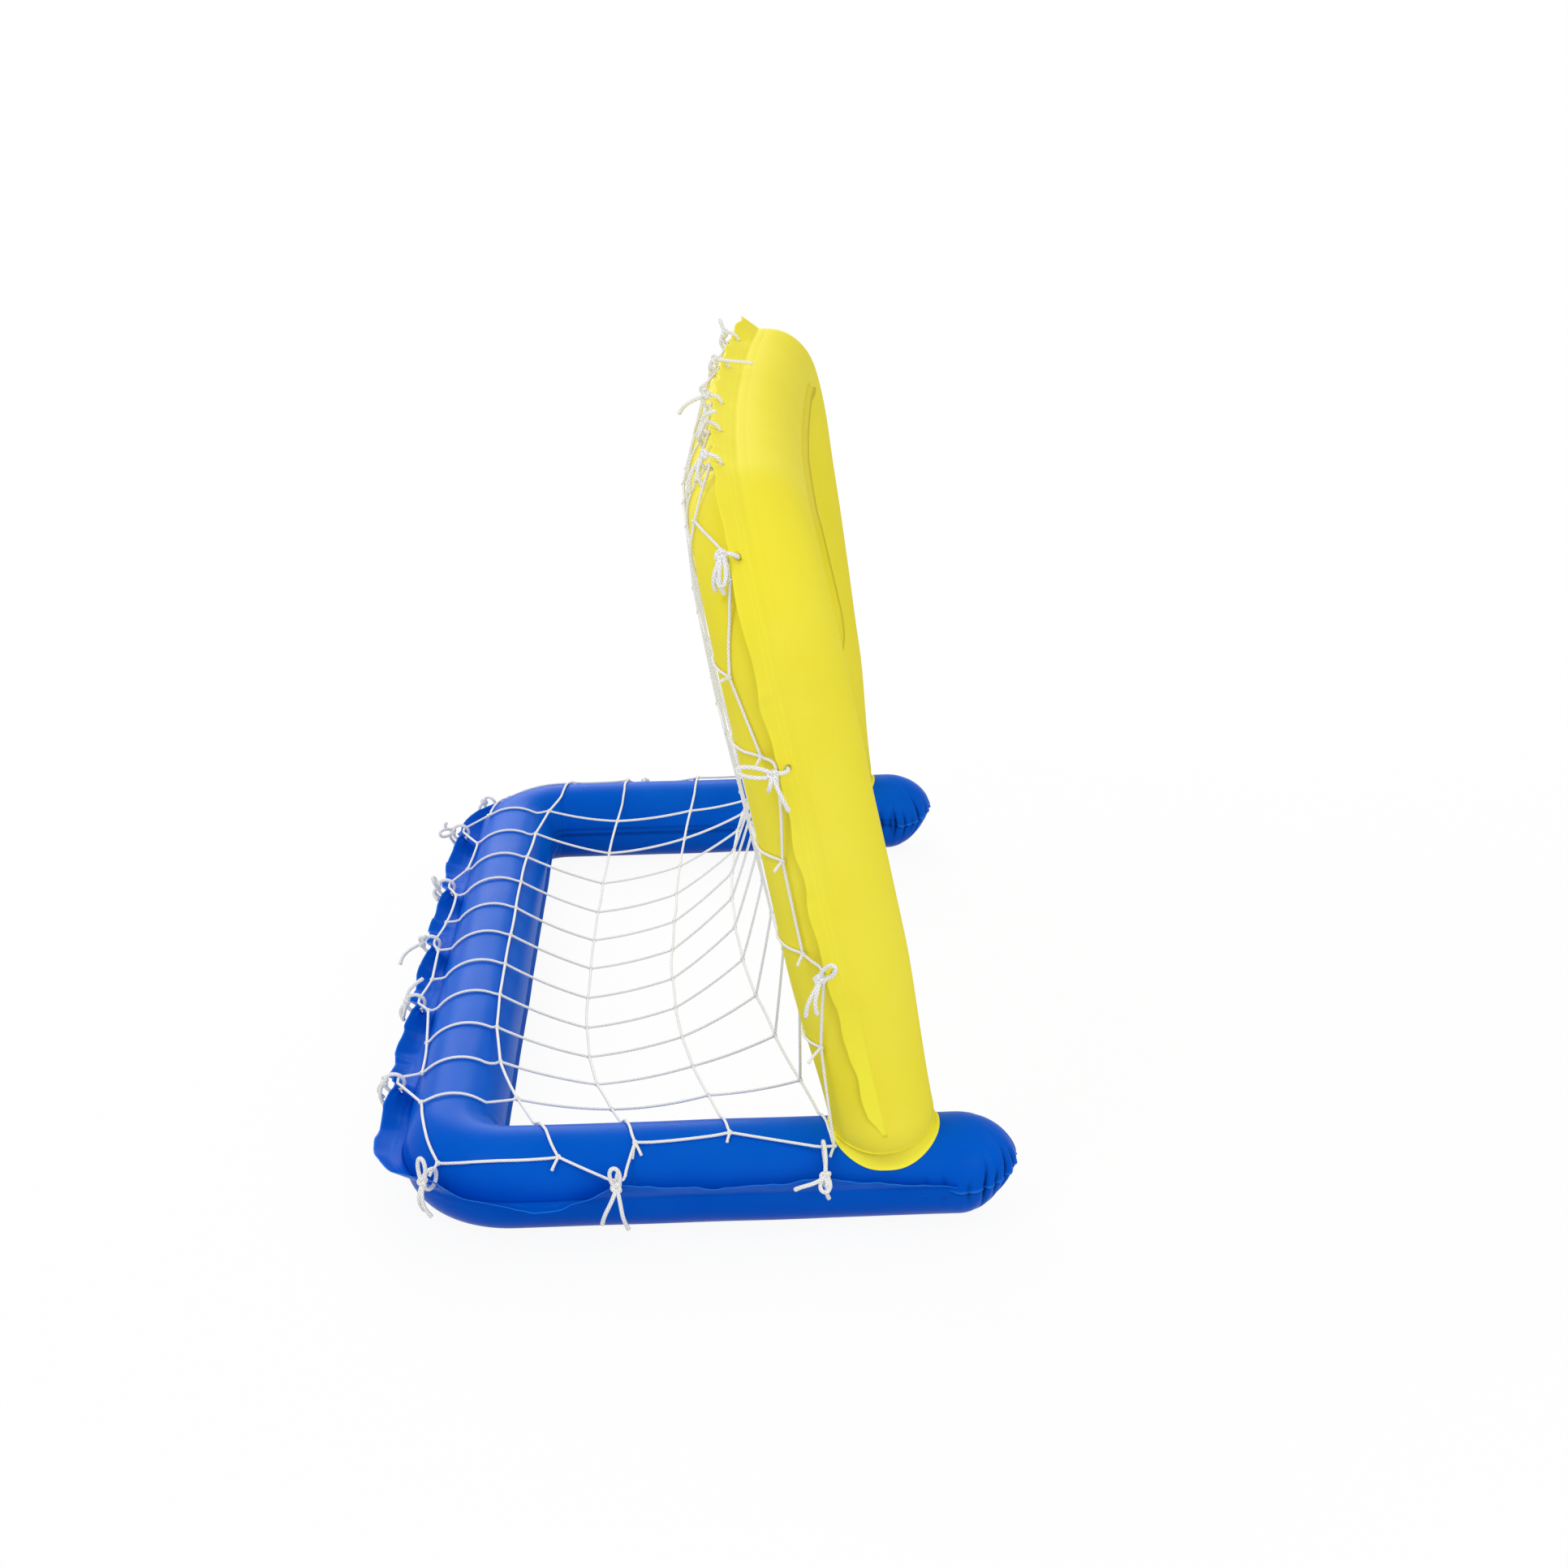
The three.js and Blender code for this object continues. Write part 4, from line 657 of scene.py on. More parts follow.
netWhite = braidedCord("netCordBraid", {
    "colour": "#ffffff", "gap": "#dededa", "strands": 3, "pitch": 5, "relief": 0.35,
    "fuzzSize": 0.9})
tieWhite = braidedCord("tieCordBraid", {
    "colour": "#ffffff", "gap": "#d9d9d4", "strands": 4, "pitch": 5.5, "relief": 0.5,
    "fuzzSize": 1})
valveClear = valvePvc("valveClearPvc", {"colour": "#dfe6ea", "grainSize": 0.8})
print("materials made")


# Chamber skins. A skin is a ring carried along its tube: angle 0 is the outer seam, 90 degrees the
# tube's upper side, 180 degrees the inner seam
skin = {"sides": 140, "closer": 0.6, "rowStep": 7, "tipStep": 2.5, "tipReach": 60, "domeRows": 84,
        "flange": 3.6, "flangeWidth": 1.7, "flangeShade": 0.35, "valley": 1.6, "valleyWidth": 5,
        "valleyShade": 0.25, "uneven": 0.5}
swells = [(1, 61, 2, 0), (0.7, 37, -3, 1.3), (0.5, 23, 5, 0.4)]  # share, length, turns and start
bendFolds = {"sway": 0.012, "swayAngle": 9, "spanShare": 0.55, "angleReach": 38,
             "base": (150, 6, 2.6), "arch": (250, 11, 2.2)}  # span, count and depth
# pale and dark: a painted highlight above the arm tip's weld and painted shade below it
armTip = {"pinch": 1.4, "lift": 13, "pole": 0.1, "fade": 3, "seamFrom": 0.96, "seamFade": 25,
          "drop": 9, "ridge": 1.8, "ridgeWidth": 1.6, "pale": 0.7, "paleBand": (0.6, 1.2),
          "dark": 0.8, "darkBand": (-2, 1.3)}
barSeam = {"turn": 84, "flange": 9, "postFrom": 0.6, "postTo": 0.9, "farFrom": 0.7, "farTo": -0.6}
archFoot = {"rows": [1.5, 4, *np.linspace(8, 44, 8)], "seamFrom": 0.06, "seamFade": 25}
tipPuckers = {  # places, depths and widths in millimetres, reach in degrees from the weld
    "places": [-42, -20, 8, 27, 41, 57, 77, 97, 112, 130, 149, 163, 175, 190, 199, 212, 227, 246],
    "depths": [1.6, 2.2, 2.4, 7.5, 5, 9, 7, 7, 3, 4, 8.5, 2.4, 5, 6, 3.4, 4.6, 3.4, 2],
    "widths": [3, 3, 3, 2, 2.2, 2.2, 2, 2, 2.6, 2.4, 2, 3, 2.2, 2.2, 2.2, 2.4, 3, 4],
    "reach": [14, 14, 14, 26, 18, 34, 28, 22, 14, 20, 40, 12, 20, 22, 16, 20, 18, 14],
    "slant": 0.12, "slantTurn": 1.7, "blunt": 0.5, "spread": 30, "ridge": 0.22, "ridgeAt": 3.4,
    "ridgeWidth": 2.4, "lineWidth": 0.9, "darkFrom": 6,
}


# Places round a tube, closer together at both seams: angle = t - c/2 sin 2t
def roundTube():
    t = roundTurns(skin["sides"])
    return t - skin["closer"] / 2 * np.sin(2 * t)


# Directions out of a tube at angles from its outer seam: outward cos a + side sin a
def spokeAt(at, angle):
    return (at["outward"][:, None] * np.cos(angle)[..., None]
            + at["side"][:, None] * np.sin(angle)[..., None])


# Puckers near a weld: each is a sharp groove, exp(-|x| / w), with a low ridge beside it. It slants
# and widens with the angle from the weld and fades by its reach. Gives the dip and painted shade
# along each crease
def puckersOf(place, fromWeld):
    p = tipPuckers
    dip = shade = 0
    for spot, depth, width, reach in zip(p["places"], p["depths"], p["widths"], p["reach"]):
        lean = spot + p["slant"] * fromWeld * np.sign(np.sin(spot * p["slantTurn"]))
        spread = width * (1 + fromWeld / p["spread"])
        groove = np.exp(-np.hypot(place - lean, p["blunt"]) / spread)
        ridge = p["ridge"] * bell(place, lean + p["ridgeAt"] * width, width * p["ridgeWidth"])
        dip = dip + depth * groove * np.exp(-(fromWeld / reach) ** 1.5)
        dip = dip - depth * ridge * np.exp(-fromWeld / reach)
        line = bell(place, lean, width * p["lineWidth"]) * np.exp(-(fromWeld / reach) ** 3)
        shade = shade + min(depth / p["darkFrom"], 1) * line
    return dip, np.clip(shade, 0, 1)


# Inner side of a bend, where the film is too long for its way round and gathers in short folds:
# (1 - cos)^3 of the share along the bend, less towards its ends and away from the inside
def bendPuckers(along, angle, middle, tubeName):
    span, count, depth = bendFolds[tubeName]
    share = (along - middle) / span
    fromInside = np.degrees(np.abs(angle - np.pi))
    sway = bendFolds["sway"] * np.sin(fromInside / bendFolds["swayAngle"])
    folds = (0.5 - 0.5 * np.cos(2 * np.pi * count * (share + sway))) ** 3
    ends = np.exp(-(share / bendFolds["spanShare"]) ** 4)
    return depth * folds * ends * bell(fromInside, 0, bendFolds["angleReach"])


# Slow swells of an inflated film, well under a millimetre: three sines that run along and round it
def unevenness(along, angle, size):
    waves = sum(share * np.sin(along / length + turns * angle + start)
                for share, length, turns, start in swells)
    return size * waves / sum(swell[0] for swell in swells)


# The inner weld stands out as a narrow flange between two shallow valleys, each a bell of the
# distance from the weld. Gives the dip and painted shade on the flange and in the valleys
def seamDip(angle, radius, height):
    fromInner = np.abs(angle - np.pi) * radius
    flange = bell(fromInner, 0, skin["flangeWidth"])
    valley = bell(fromInner, skin["valleyWidth"], skin["valleyWidth"] / 2)
    shade = -skin["flangeShade"] * flange - skin["valleyShade"] * valley
    return skin["valley"] * valley - height * flange, shade


# Base skin: rings along the tube, and past each arm's end a dome, radius cos b by tipLength sin b,
# that is pinched flat and lifted towards its weld
def baseSkin():
    reach = base["along"][-1]
    inner = reach - skin["tipReach"]
    rows = np.linspace(-inner, inner, int(2 * inner / skin["rowStep"]))
    tipRows = np.linspace(inner, reach, int(skin["tipReach"] / skin["tipStep"]))[1:]
    rows = np.concatenate([-tipRows[::-1], rows, tipRows])
    dome = np.linspace(0, np.pi / 2, skin["domeRows"] + 1)[1:-1]
    bend = np.concatenate([-dome[::-1], 0 * rows, dome])
    rows = np.concatenate([np.full(len(dome), -reach), rows, np.full(len(dome), reach)])
    at = tubeAt(base, rows)
    angle = roundTube()[None, :]
    bend = bend[:, None]
    along = rows[:, None] + 0 * angle
    radius = goal["baseRadius"]
    outward, side, tangent = (at[key][:, None] for key in ("outward", "side", "tangent"))
    spoke = spokeAt(at, angle)
    narrow = np.cos(bend)[..., None]
    level = outward * np.cos(angle)[..., None] * (radius * narrow)
    upright = side * np.sin(angle)[..., None] * (radius * narrow ** armTip["pinch"])
    reached = (level + upright + tangent * (goal["tipLength"] * np.sin(bend)[..., None])
               + up * (armTip["lift"] * np.sin(bend)[..., None] ** 2))
    normal = unit(spoke * (goal["tipLength"] * np.cos(bend)[..., None])
                  + tangent * (radius * np.sin(bend)[..., None]))
    atTip = np.clip(np.sin(np.abs(bend)) * armTip["fade"], 0, 1)
    fromFlap = np.abs(along) - onArm(armTip["seamFrom"], 1)
    pastFlap = np.clip(fromFlap / armTip["seamFade"], 0, 1) * (np.cos(angle) > 0)
    onSeam = np.maximum(atTip, pastFlap)
    aboveWeld = np.degrees(np.arcsin(np.cos(bend) * np.sin(angle))) + armTip["drop"] * onSeam
    fromWeld = np.abs(aboveWeld)
    goesRound = np.arctan2(np.sin(np.abs(bend)), np.cos(bend) * np.cos(angle)) * radius
    short = reach - np.abs(along)
    place = goesRound + np.where(np.cos(angle) > 0, -short, short)
    dip, shade = puckersOf(place, fromWeld)
    dip = dip - armTip["ridge"] * onSeam * bell(fromWeld, 0, armTip["ridgeWidth"])
    for sign in (-1, 1):
        dip = dip + bendPuckers(along, angle, onCorner(0.5, sign), "base")
    seam, paintedLight = seamDip(angle + 0 * along, radius, skin["flange"])
    seam = seam * (1 - atTip)
    # A painted highlight just above the weld and painted shade just below it, with painted shade in
    # the creases
    pale = armTip["pale"] * bell(aboveWeld, *armTip["paleBand"])
    dark = armTip["dark"] * bell(aboveWeld, *armTip["darkBand"])
    paintedLight = paintedLight * (1 - atTip) + onSeam * (pale - dark) - shade
    swell = unevenness(along, angle, skin["uneven"]) * np.cos(bend)
    grid = at["centre"][:, None] + reached + normal * (swell - dip - seam)[..., None]
    grid[..., 2] = np.maximum(grid[..., 2], 0)
    shape = newShape()
    u = np.append(angle, 2 * np.pi) * radius / perMetre
    v = rows + np.sin(bend[:, 0]) * radius
    ids = addGrid(shape, grid, u=u, v=v, paintedLight=paintedLight + 0 * along)
    for row, way, isStart in ((0, -1, True), (-1, 1, False)):
        tipPoint = grid[row].mean(0) + at["tangent"][row] * way * armTip["pole"]
        addFan(shape, ids[row], tipPoint, isStart)
    return shape


# Arch skin: rings along the tube. The net's pull on the outer flap turns the bar, so from its near
# end on the inner weld comes round to the mouth's side
def archSkin():
    reach = arch["along"][-1]
    rows = np.linspace(-reach, reach, int(2 * reach / skin["rowStep"]))
    foot = reach - np.array(archFoot["rows"])
    rows = np.sort(np.concatenate([rows, foot, -foot]))
    at = tubeAt(arch, rows)
    postFrom, postTo = onPost(barSeam["postFrom"], 1), onPost(barSeam["postTo"], 1)
    onTop = np.clip((postFrom - np.abs(rows)) / (postFrom - postTo), 0, 1)[:, None]
    farEnd, turned = onArchCorner(barSeam["farFrom"], -1), onBar(barSeam["farTo"])
    onTop = onTop * np.clip((rows - farEnd) / (turned - farEnd), 0, 1)[:, None]
    onTop = onTop**2 * (3 - 2 * onTop)
    seamTurn = np.radians(barSeam["turn"]) * onTop
    angle = roundTube()[None, :] + seamTurn
    along = rows[:, None] + 0 * angle
    radius = at["radius"][:, None] + 0 * angle
    dip = 0
    for sign in (-1, 1):
        dip = dip + bendPuckers(along, angle, onArchCorner(0.5, sign), "arch")
    footSeam = onPost(archFoot["seamFrom"], 1) - np.abs(along)
    free = np.clip(footSeam / archFoot["seamFade"], 0, 1)
    height = mix(skin["flange"], barSeam["flange"], onTop)
    # Painted shade on the inner weld's flange and valleys, faded out towards the feet
    seam, paintedLight = (part * free for part in seamDip(angle - seamTurn, radius, height))
    swell = unevenness(along, angle, skin["uneven"])
    grid = at["centre"][:, None] + spokeAt(at, angle) * (radius - dip - seam + swell)[..., None]
    shape = newShape()
    u = np.append(roundTube(), 2 * np.pi) * goal["archRadius"] / perMetre
    ids = addGrid(shape, grid, u=u, v=rows, paintedLight=paintedLight)
    addFan(shape, ids[0], at["centre"][0], True)
    addFan(shape, ids[-1], at["centre"][-1], False)
    return shape


baseSkinPiece = putPiece("base_skin", baseSkin(), bluePvc, "blue_pvc", ["base_chamber"])
archSkinPiece = putPiece("arch_skin", archSkin(), yellowPvc, "yellow_pvc", ["arch_chamber"])
print("chamber skins made")

# Foot skirts: from the seam on the post, down its skin and out over the arm, with a rolled edge
skirt = {"seamHeight": 25, "sideDrop": 27, "frontDrop": 15, "sunk": 0.4, "off": 0.6, "lip": 1.2,
         "halfWidth": 60.5, "halfLength": 70, "square": 0.78, "edgeOff": 1.0, "bead": 1.3,
         "beadIn": 1, "beadTurns": [40, 90, 140, 200], "inner": 52, "innerLonger": 6,
         "innerSquare": 0.9, "innerSunk": 0.5, "seamShade": 0.9, "topShade": 0.8,
         "topBand": 0.06, "edgeBand": 0.12,
         "shares": [0.03, 0.06, *np.linspace(0.125, 1, 8)], "sides": 120}


# A skirt's rows go from the seam by way of a ring on the arm's skin to the edge: (1 - t)^2 of the
# seam, 2 t (1 - t) of the ring and t^2 of the edge; then they turn round the bead and back under it
def footSkirt(sign):
    angle = roundTurns(skirt["sides"])
    x = -sign * halfSpacing
    at = {key: value[0] for key, value in tubeAt(arch, [onPost(0.02, sign)]).items()}
    height = (skirt["seamHeight"] - skirt["sideDrop"] * np.cos(angle) ** 2
              - skirt["frontDrop"] * np.maximum(-np.sin(angle), 0))
    middle = archPoint(x + 0 * height, height)
    reach = archRadiusAt(height)[:, None]
    centre = archPoint(np.array(x * 1.0), np.array(goal["footShoulder"] / 2.0))
    spoke = np.cos(angle)[:, None] * at["outward"] + np.sin(angle)[:, None] * at["side"]
    top = middle + spoke * (reach - skirt["sunk"])
    seam = middle + spoke * (reach + skirt["off"])
    def onArmSkin(halfWidth, halfLength, off, power):
        dx = halfWidth * squared(np.cos(angle), power) * -sign
        dy = halfLength * squared(np.sin(angle), power)
        z = axisHeight + np.sqrt((goal["baseRadius"] + off) ** 2 - dx**2)
        return np.stack([x + dx, centre[1] + dy, z], 1)
    inner = onArmSkin(skirt["inner"], skirt["inner"] + skirt["innerLonger"], skirt["off"],
                      skirt["innerSquare"])
    edge = onArmSkin(skirt["halfWidth"] - skirt["beadIn"], skirt["halfLength"] - skirt["beadIn"],
                     skirt["edgeOff"], skirt["square"])
    # The seam, the band just below it, the edge and the rolled bead get a painted highlight
    rows, paintedLight = [top, seam + spoke * skirt["lip"]], [skirt["seamShade"]] * 2
    for share in skirt["shares"]:
        rows.append((1 - share) ** 2 * seam + 2 * share * (1 - share) * inner + share**2 * edge)
        paintedLight.append(skirt["topShade"] * bell(share, 0, skirt["topBand"])
                    + skirt["seamShade"] * bell(share, 1, skirt["edgeBand"]))
    outside = unit(edge - centre)
    for turn in np.radians(skirt["beadTurns"]):
        under = up * (1 - np.cos(turn)) / 2
        rows.append(edge + skirt["bead"] * (outside * np.sin(turn) - under))
        paintedLight.append(skirt["seamShade"])
    rows.append(onArmSkin(skirt["inner"] - skirt["innerLonger"], skirt["inner"],
                          -skirt["innerSunk"], skirt["innerSquare"]))
    paintedLight.append(0)
    shape = newShape()
    grid = np.stack(rows)
    grid = grid[:, ::sign]
    addGrid(shape, grid, wrapAlong=True, paintedLight=np.repeat(np.array(paintedLight)[:, None], len(angle), 1))
    return shape


putPiece("foot_skirt_near", footSkirt(1), yellowPvc, "yellow_pvc", ["foot_collar_near"])
putPiece("foot_skirt_far", footSkirt(-1), yellowPvc, "yellow_pvc", ["foot_collar_far"])
print("foot skirts made")

# Flap sheets: a strip of two welded skins that leaves the tube flush with its film, wavy between
# its ties and drawn in at each eyelet
flapWaves = {"lengths": [31, 47, 73, 19], "heights": [1.6, 2.0, 2.2, 0.7], "rise": 1.4,
             "calm": 22, "ends": 60, "curl": 16, "curlShare": 0.25, "pleats": 6,
             "pleatHeight": 1.3, "pleatBand": (14, 8), "flushFrom": [15, 11, 7.5, 4.5, 2],
             "flushSink": [-0.9, -0.3, 0.1, 0.35, 0.5], "flushWidth": 12, "flushLeast": 0.2}
# Painted highlights on a flap: along two weld lines of a wide flap, at its free edge and up the
# posts; lay is the sheet's breadth on its uv
flapHighlights = {"lines": [9, 16], "lineWidth": 1.3, "lineShade": 0.3, "lineFrom": 24,
             "edgeWidth": 1.6, "edgeShade": 0.75, "postFrom": 0.3, "postFade": 120,
             "postShade": 0.7, "lay": 0.045}


# A grid of places along the tube by distances out from its film. Round each eyelet the grid's
# squares turn into circles, so that the hole is round; across the flap stand sines, pleats that fan
# out from the eyelets and a slow curl
def flapSheet(tubeName):
    tube, rows = tubes[tubeName]
    spots = np.array([row[1] for row in ties.values() if row[0] == tubeName])
    first, last = rows[0, 0], rows[-1, 0]
    marks = spots[:, None] + np.array(flapSizes["marks"])
    plain = np.linspace(first, last, int((last - first) / flapSizes["step"]))
    plain = plain[np.abs(plain[:, None] - spots).min(1) > flapSizes["markReach"]]
    along = np.sort(np.concatenate([plain, marks.reshape(-1)]))
    at = flapAt(tube, rows, along)
    width, ruffle = at["width"][:, None], at["ruffle"][:, None]
    edge = flapSizes["edgeBlock"] * np.clip(width / flapSizes["fullWidth"], 0, 1)
    inside = (width - edge) * np.linspace(0, 1, flapSizes["rootLines"])[:-1]
    out = np.concatenate([inside, width - edge * np.linspace(1, 0, flapSizes["edgeLines"])], 1)
    spot = spots[np.abs(along[:, None] - spots).argmin(1)][:, None]
    eyelet = width - flapSizes["eyeletMargin"]
    a, b = along[:, None] - spot + 0 * out, out - eyelet
    square = np.maximum(np.abs(a), np.abs(b))
    apart = np.maximum(np.hypot(a, b), 1e-6)
    fan = np.cos(flapWaves["pleats"] * np.arctan2(b, a)) * bell(apart, *flapWaves["pleatBand"])
    share = (square - flapSizes["holeBlock"]) / (flapSizes["blend"] - flapSizes["holeBlock"])
    share = np.clip(share, 0, 1)
    alongs = spot + mix(flapSizes["hole"] * a / apart, a, share)
    out = eyelet + mix(flapSizes["hole"] * b / apart, b, share)
    flat = flapAt(tube, rows, alongs.reshape(-1))
    root, direction, normal = (flat[key].reshape(alongs.shape + (3,))
                               for key in ("root", "direction", "normal"))
    rise = np.clip(out / width, 0, 1)
    calm = 1 - bell(alongs, spot, flapWaves["calm"])
    ends = [np.clip(gap / flapWaves["ends"], 0, 1) for gap in (alongs - first, last - alongs)]
    free = calm * ends[0] * ends[1] * ruffle
    wave = 0
    for length, height in zip(flapWaves["lengths"], flapWaves["heights"]):
        start = chance.uniform(0, chanceTurn)
        wave = wave + height * np.sin(2 * np.pi * alongs / length + start)
    wave = wave * rise ** flapWaves["rise"] * free
    pleats = flapWaves["pleatHeight"] * fan * rise * ruffle * (1 - calm)
    curl = np.radians(flapWaves["curl"]) * np.sin(np.pi * rise) * free
    lift = curl * width * flapWaves["curlShare"]
    grid = root + direction * out[..., None] + normal * (wave + pleats - lift)[..., None]
    nearer = np.clip(width / flapWaves["flushWidth"], flapWaves["flushLeast"], 1)
    turn = -np.array(flapWaves["flushFrom"]) * nearer / at["radius"][:, None]
    distance = at["radius"][:, None] + np.array(flapWaves["flushSink"])
    distance = distance + unevenness(along[:, None], turn, skin["uneven"])
    flush = at["centre"][:, None] + spokeAt(at, turn) * distance[..., None]
    grid = np.concatenate([flush, grid], 1)
    corners = [square[:-1, :-1], square[1:, :-1], square[:-1, 1:], square[1:, 1:]]
    keep = np.maximum.reduce(corners) > flapSizes["holeBlock"] + flapSizes["holeSlack"]
    keep = np.concatenate([np.ones((len(along) - 1, turn.shape[1]), bool), keep], 1)
    # Painted highlight: paler up the posts, at the free edge and along two weld lines, none on the
    # flush rows
    upPost = (np.abs(along) - onPost(flapHighlights["postFrom"], 1)) / flapHighlights["postFade"]
    upPost = np.clip(upPost, 0, 1)[:, None] * (tubeName == "arch")
    lines = sum(bell(out, line, flapHighlights["lineWidth"]) for line in flapHighlights["lines"])
    paintedLight = (flapHighlights["edgeShade"] * bell(out, width, flapHighlights["edgeWidth"])
            + flapHighlights["lineShade"] * lines * (width > flapHighlights["lineFrom"]))
    paintedLight = np.concatenate([0 * turn, np.maximum(paintedLight, flapHighlights["postShade"] * upPost)], 1)
    shape = newShape()
    u = np.linspace(0, flapHighlights["lay"], paintedLight.shape[1])
    addGrid(shape, grid, u=u, v=along, wrapAcross=False, keep=keep, paintedLight=paintedLight)
    return shape


# A tube's flap as one sheet, given its thickness, and a welded ring round each eyelet
def addFlap(tubeName, material, slot):
    nodes = [f"{tubeName}_flap_{side}" for side in ("far", "middle", "near")]
    sheet = putPiece(f"{tubeName}_flap", flapSheet(tubeName), material, slot, nodes, isOpen=True)
    thick = sheet.modifiers.new("thickness", "SOLIDIFY")
    thick.thickness = flapSizes["thick"] / perMetre
    thick.offset = 0
    rings = newShape()
    turn = roundTurns(flapSizes["ringSides"])[:, None]
    for name in ties:
        if ties[name][0] == tubeName:
            at = tieAt(name)
            spoke = np.cos(turn) * at["direction"] + np.sin(turn) * at["tangent"]
            path = at["eyelet"] + (flapSizes["hole"] + flapSizes["ringOut"]) * spoke
            addCord(rings, path, flapSizes["ringRadius"], 6, closed=True)
    putPiece(f"{tubeName}_eyelet_rings", rings, material, slot)


addFlap("base", bluePvc, "blue_pvc")
addFlap("arch", yellowPvc, "yellow_pvc")
print("flaps made")

# Net: shares and turns of its knots as in the part's source. A row of middleShares is a line's
# reach, its height and the power by which it turns towards its borders
acrossGaps, floorLines = 12, 5
knotClear = strandHalf + netCord["gap"] + netCord["lift"]
middleShares = np.array([
    [-0.134, 0.133, 2], [0.063, 0.161, 4.4], [0.275, 0.083, 2.8], [0.499, 0.118, 2.2],
    [0.664, 0.225, 2], [0.731, 0.381, 2], [0.681, 0.556, 2], [0.629, 0.729, 2], [0.59, 0.900, 2],
    [0.574, 1.060, 2], [0.635, 1.222, 2]])
topLine = len(middleShares) - 1
armBorders = {
    1: [(0.055, 58), (0.262, 42), (0.433, 28), (0.646, 19), (0.879, 40)],
    -1: [(0.037, 48), (0.166, 32), (0.345, 28), (0.566, 22), (0.752, 40)],
}
postBorders = {
    1: [(0.2, 45), (0.37, 38), (0.53, 37), (0.705, 34), (0.83, 50)],
    -1: [(0.2, 45), (0.36, 38), (0.53, 38), (0.70, 36), (0.83, 50)],
}


# Moves points that lie inside a tube, or too close to it, straight out to the clearance
def clearOf(tube, points, clearance):
    offset = points[:, None] - tube["centre"]
    distance = np.linalg.norm(offset, axis=2)
    slack = distance - tube["radius"] - clearance
    i = slack.argmin(1)
    each = np.arange(len(points))
    away = unit(offset[each, i])
    pushed = tube["centre"][i] + away * (tube["radius"][i] + clearance)[:, None]
    return np.where((slack[each, i] < 0)[:, None], pushed, points)


# Clear of the base, then of the arch
def clearOfTubes(points, clearance):
    return clearOf(arch, clearOf(base, np.atleast_2d(points), clearance), clearance)


# A line's border knot: beside its arm or post, at a turn round it, or at the top corner's tie
def borderKnot(line, sign):
    if line < floorLines:
        share, turn = armBorders[sign][line]
        at = tubeAt(base, behindPost(share, sign))
        first, second = at["side"][0], at["outward"][0]
    elif line - floorLines < len(postBorders[sign]):
        share, turn = postBorders[sign][line - floorLines]
        at = tubeAt(arch, onPost(share, sign))
        first, second = at["outward"][0], at["side"][0]
    else:
        name = "tie_near_post_1" if sign > 0 else "tie_far_post_1"
        return borderPoint(name, sign * 2 * netCord["tieStraight"])
    turn = np.radians(turn)
    spoke = first * np.cos(turn) + second * np.sin(turn)
    return at["centre"][0] + (at["radius"][0] + knotClear) * spoke


# All knots: along a line, reach and height go from the middle's to the border's by |across|^power
def netKnots():
    rows = []
    for line, (reachShare, heightShare, turnPower) in enumerate(middleShares):
        across = 1 - 2 * np.arange(acrossGaps + 1) / acrossGaps
        far, near = borderKnot(line, -1), borderKnot(line, 1)
        border = np.where((across > 0)[:, None], far, near)
        pull = np.abs(across) ** turnPower
        reach = mix(-reachShare * goal["footReach"], border[:, 1], pull)
        height = mix(heightShare * goal["archHeight"], border[:, 2], pull)
        row = np.stack([across * halfSpacing, reach, height], 1)
        row = clearOfTubes(row, knotClear)
        row[0], row[-1] = far, near
        rows.append(row)
    return np.array(rows)


knots = netKnots()


# The ties that a border strand passes through, in order, as pairs of points
def viaPoints(start, end, names):
    course = end - start
    found = []
    for name in names:
        point = borderPoint(name)
        share = (point - start) @ course / (course @ course)
        if 0 < share < 1:
            tangent = tieAt(name)["tangent"]
            along = np.sign(tangent @ course) * netCord["tieStraight"]
            found.append((share, point - tangent * along, point + tangent * along))
    return [point for via in sorted(found, key=lambda f: f[0]) for point in via[1:]]


# Names of the ties that a strand of the border passes
def tiesOnStrand(line, place, isAcross):
    if isAcross:
        keys = {0: ("rear_", "far_corner"), topLine: ("top_", "post_1")}.get(line, ())
    else:
        side = {0: "far", acrossGaps: "near"}.get(place)
        keys = ()
        if side and line < floorLines - 1:
            keys = (f"{side}_arm", f"{side}_foot", "near_corner")[:3 if side == "near" else 2]
        elif side and line >= floorLines:
            keys = (f"{side}_post_2", f"{side}_post_3")
    return [name for name in ties if any(key in name for key in keys)]


# A strand: even points between its stops, hanging by 4 t (1 - t), pushed clear of the tubes
def strandPath(start, end, names, hangs):
    stops = [start, *viaPoints(start, end, names), end]
    parts = []
    for i in range(len(stops) - 1):
        a, b = stops[i], stops[i + 1]
        length = np.linalg.norm(b - a)
        count = max(2, int(length / netCord["spacing"]))
        share = np.linspace(0, 1, count, endpoint=i == len(stops) - 2)[:, None]
        line = mix(a, b, share)
        if i % 2 == 0:
            sag = netCord["slack" if hangs and len(stops) == 2 else "tightSlack"] * length
            sway = chance.normal(0, netCord["sway"]) * length
            across = unit(np.cross(b - a, up))
            line = line + 4 * share * (1 - share) * (across * sway - up * sag)
            line[1:-1] = clearOfTubes(line, netCord["radius"] + netCord["off"])[1:-1]
        parts.append(line)
    return smoothPath(np.concatenate(parts), netCord["step"])


netKnot = {"radius": 1.5, "width": 2.3, "height": 2.1, "lean": 0.5, "apart": 0.9}
stubForm = {"droop": 0.22, "off": 0.4, "step": 4, "meltedFrom": 0.75, "melted": 1.15}


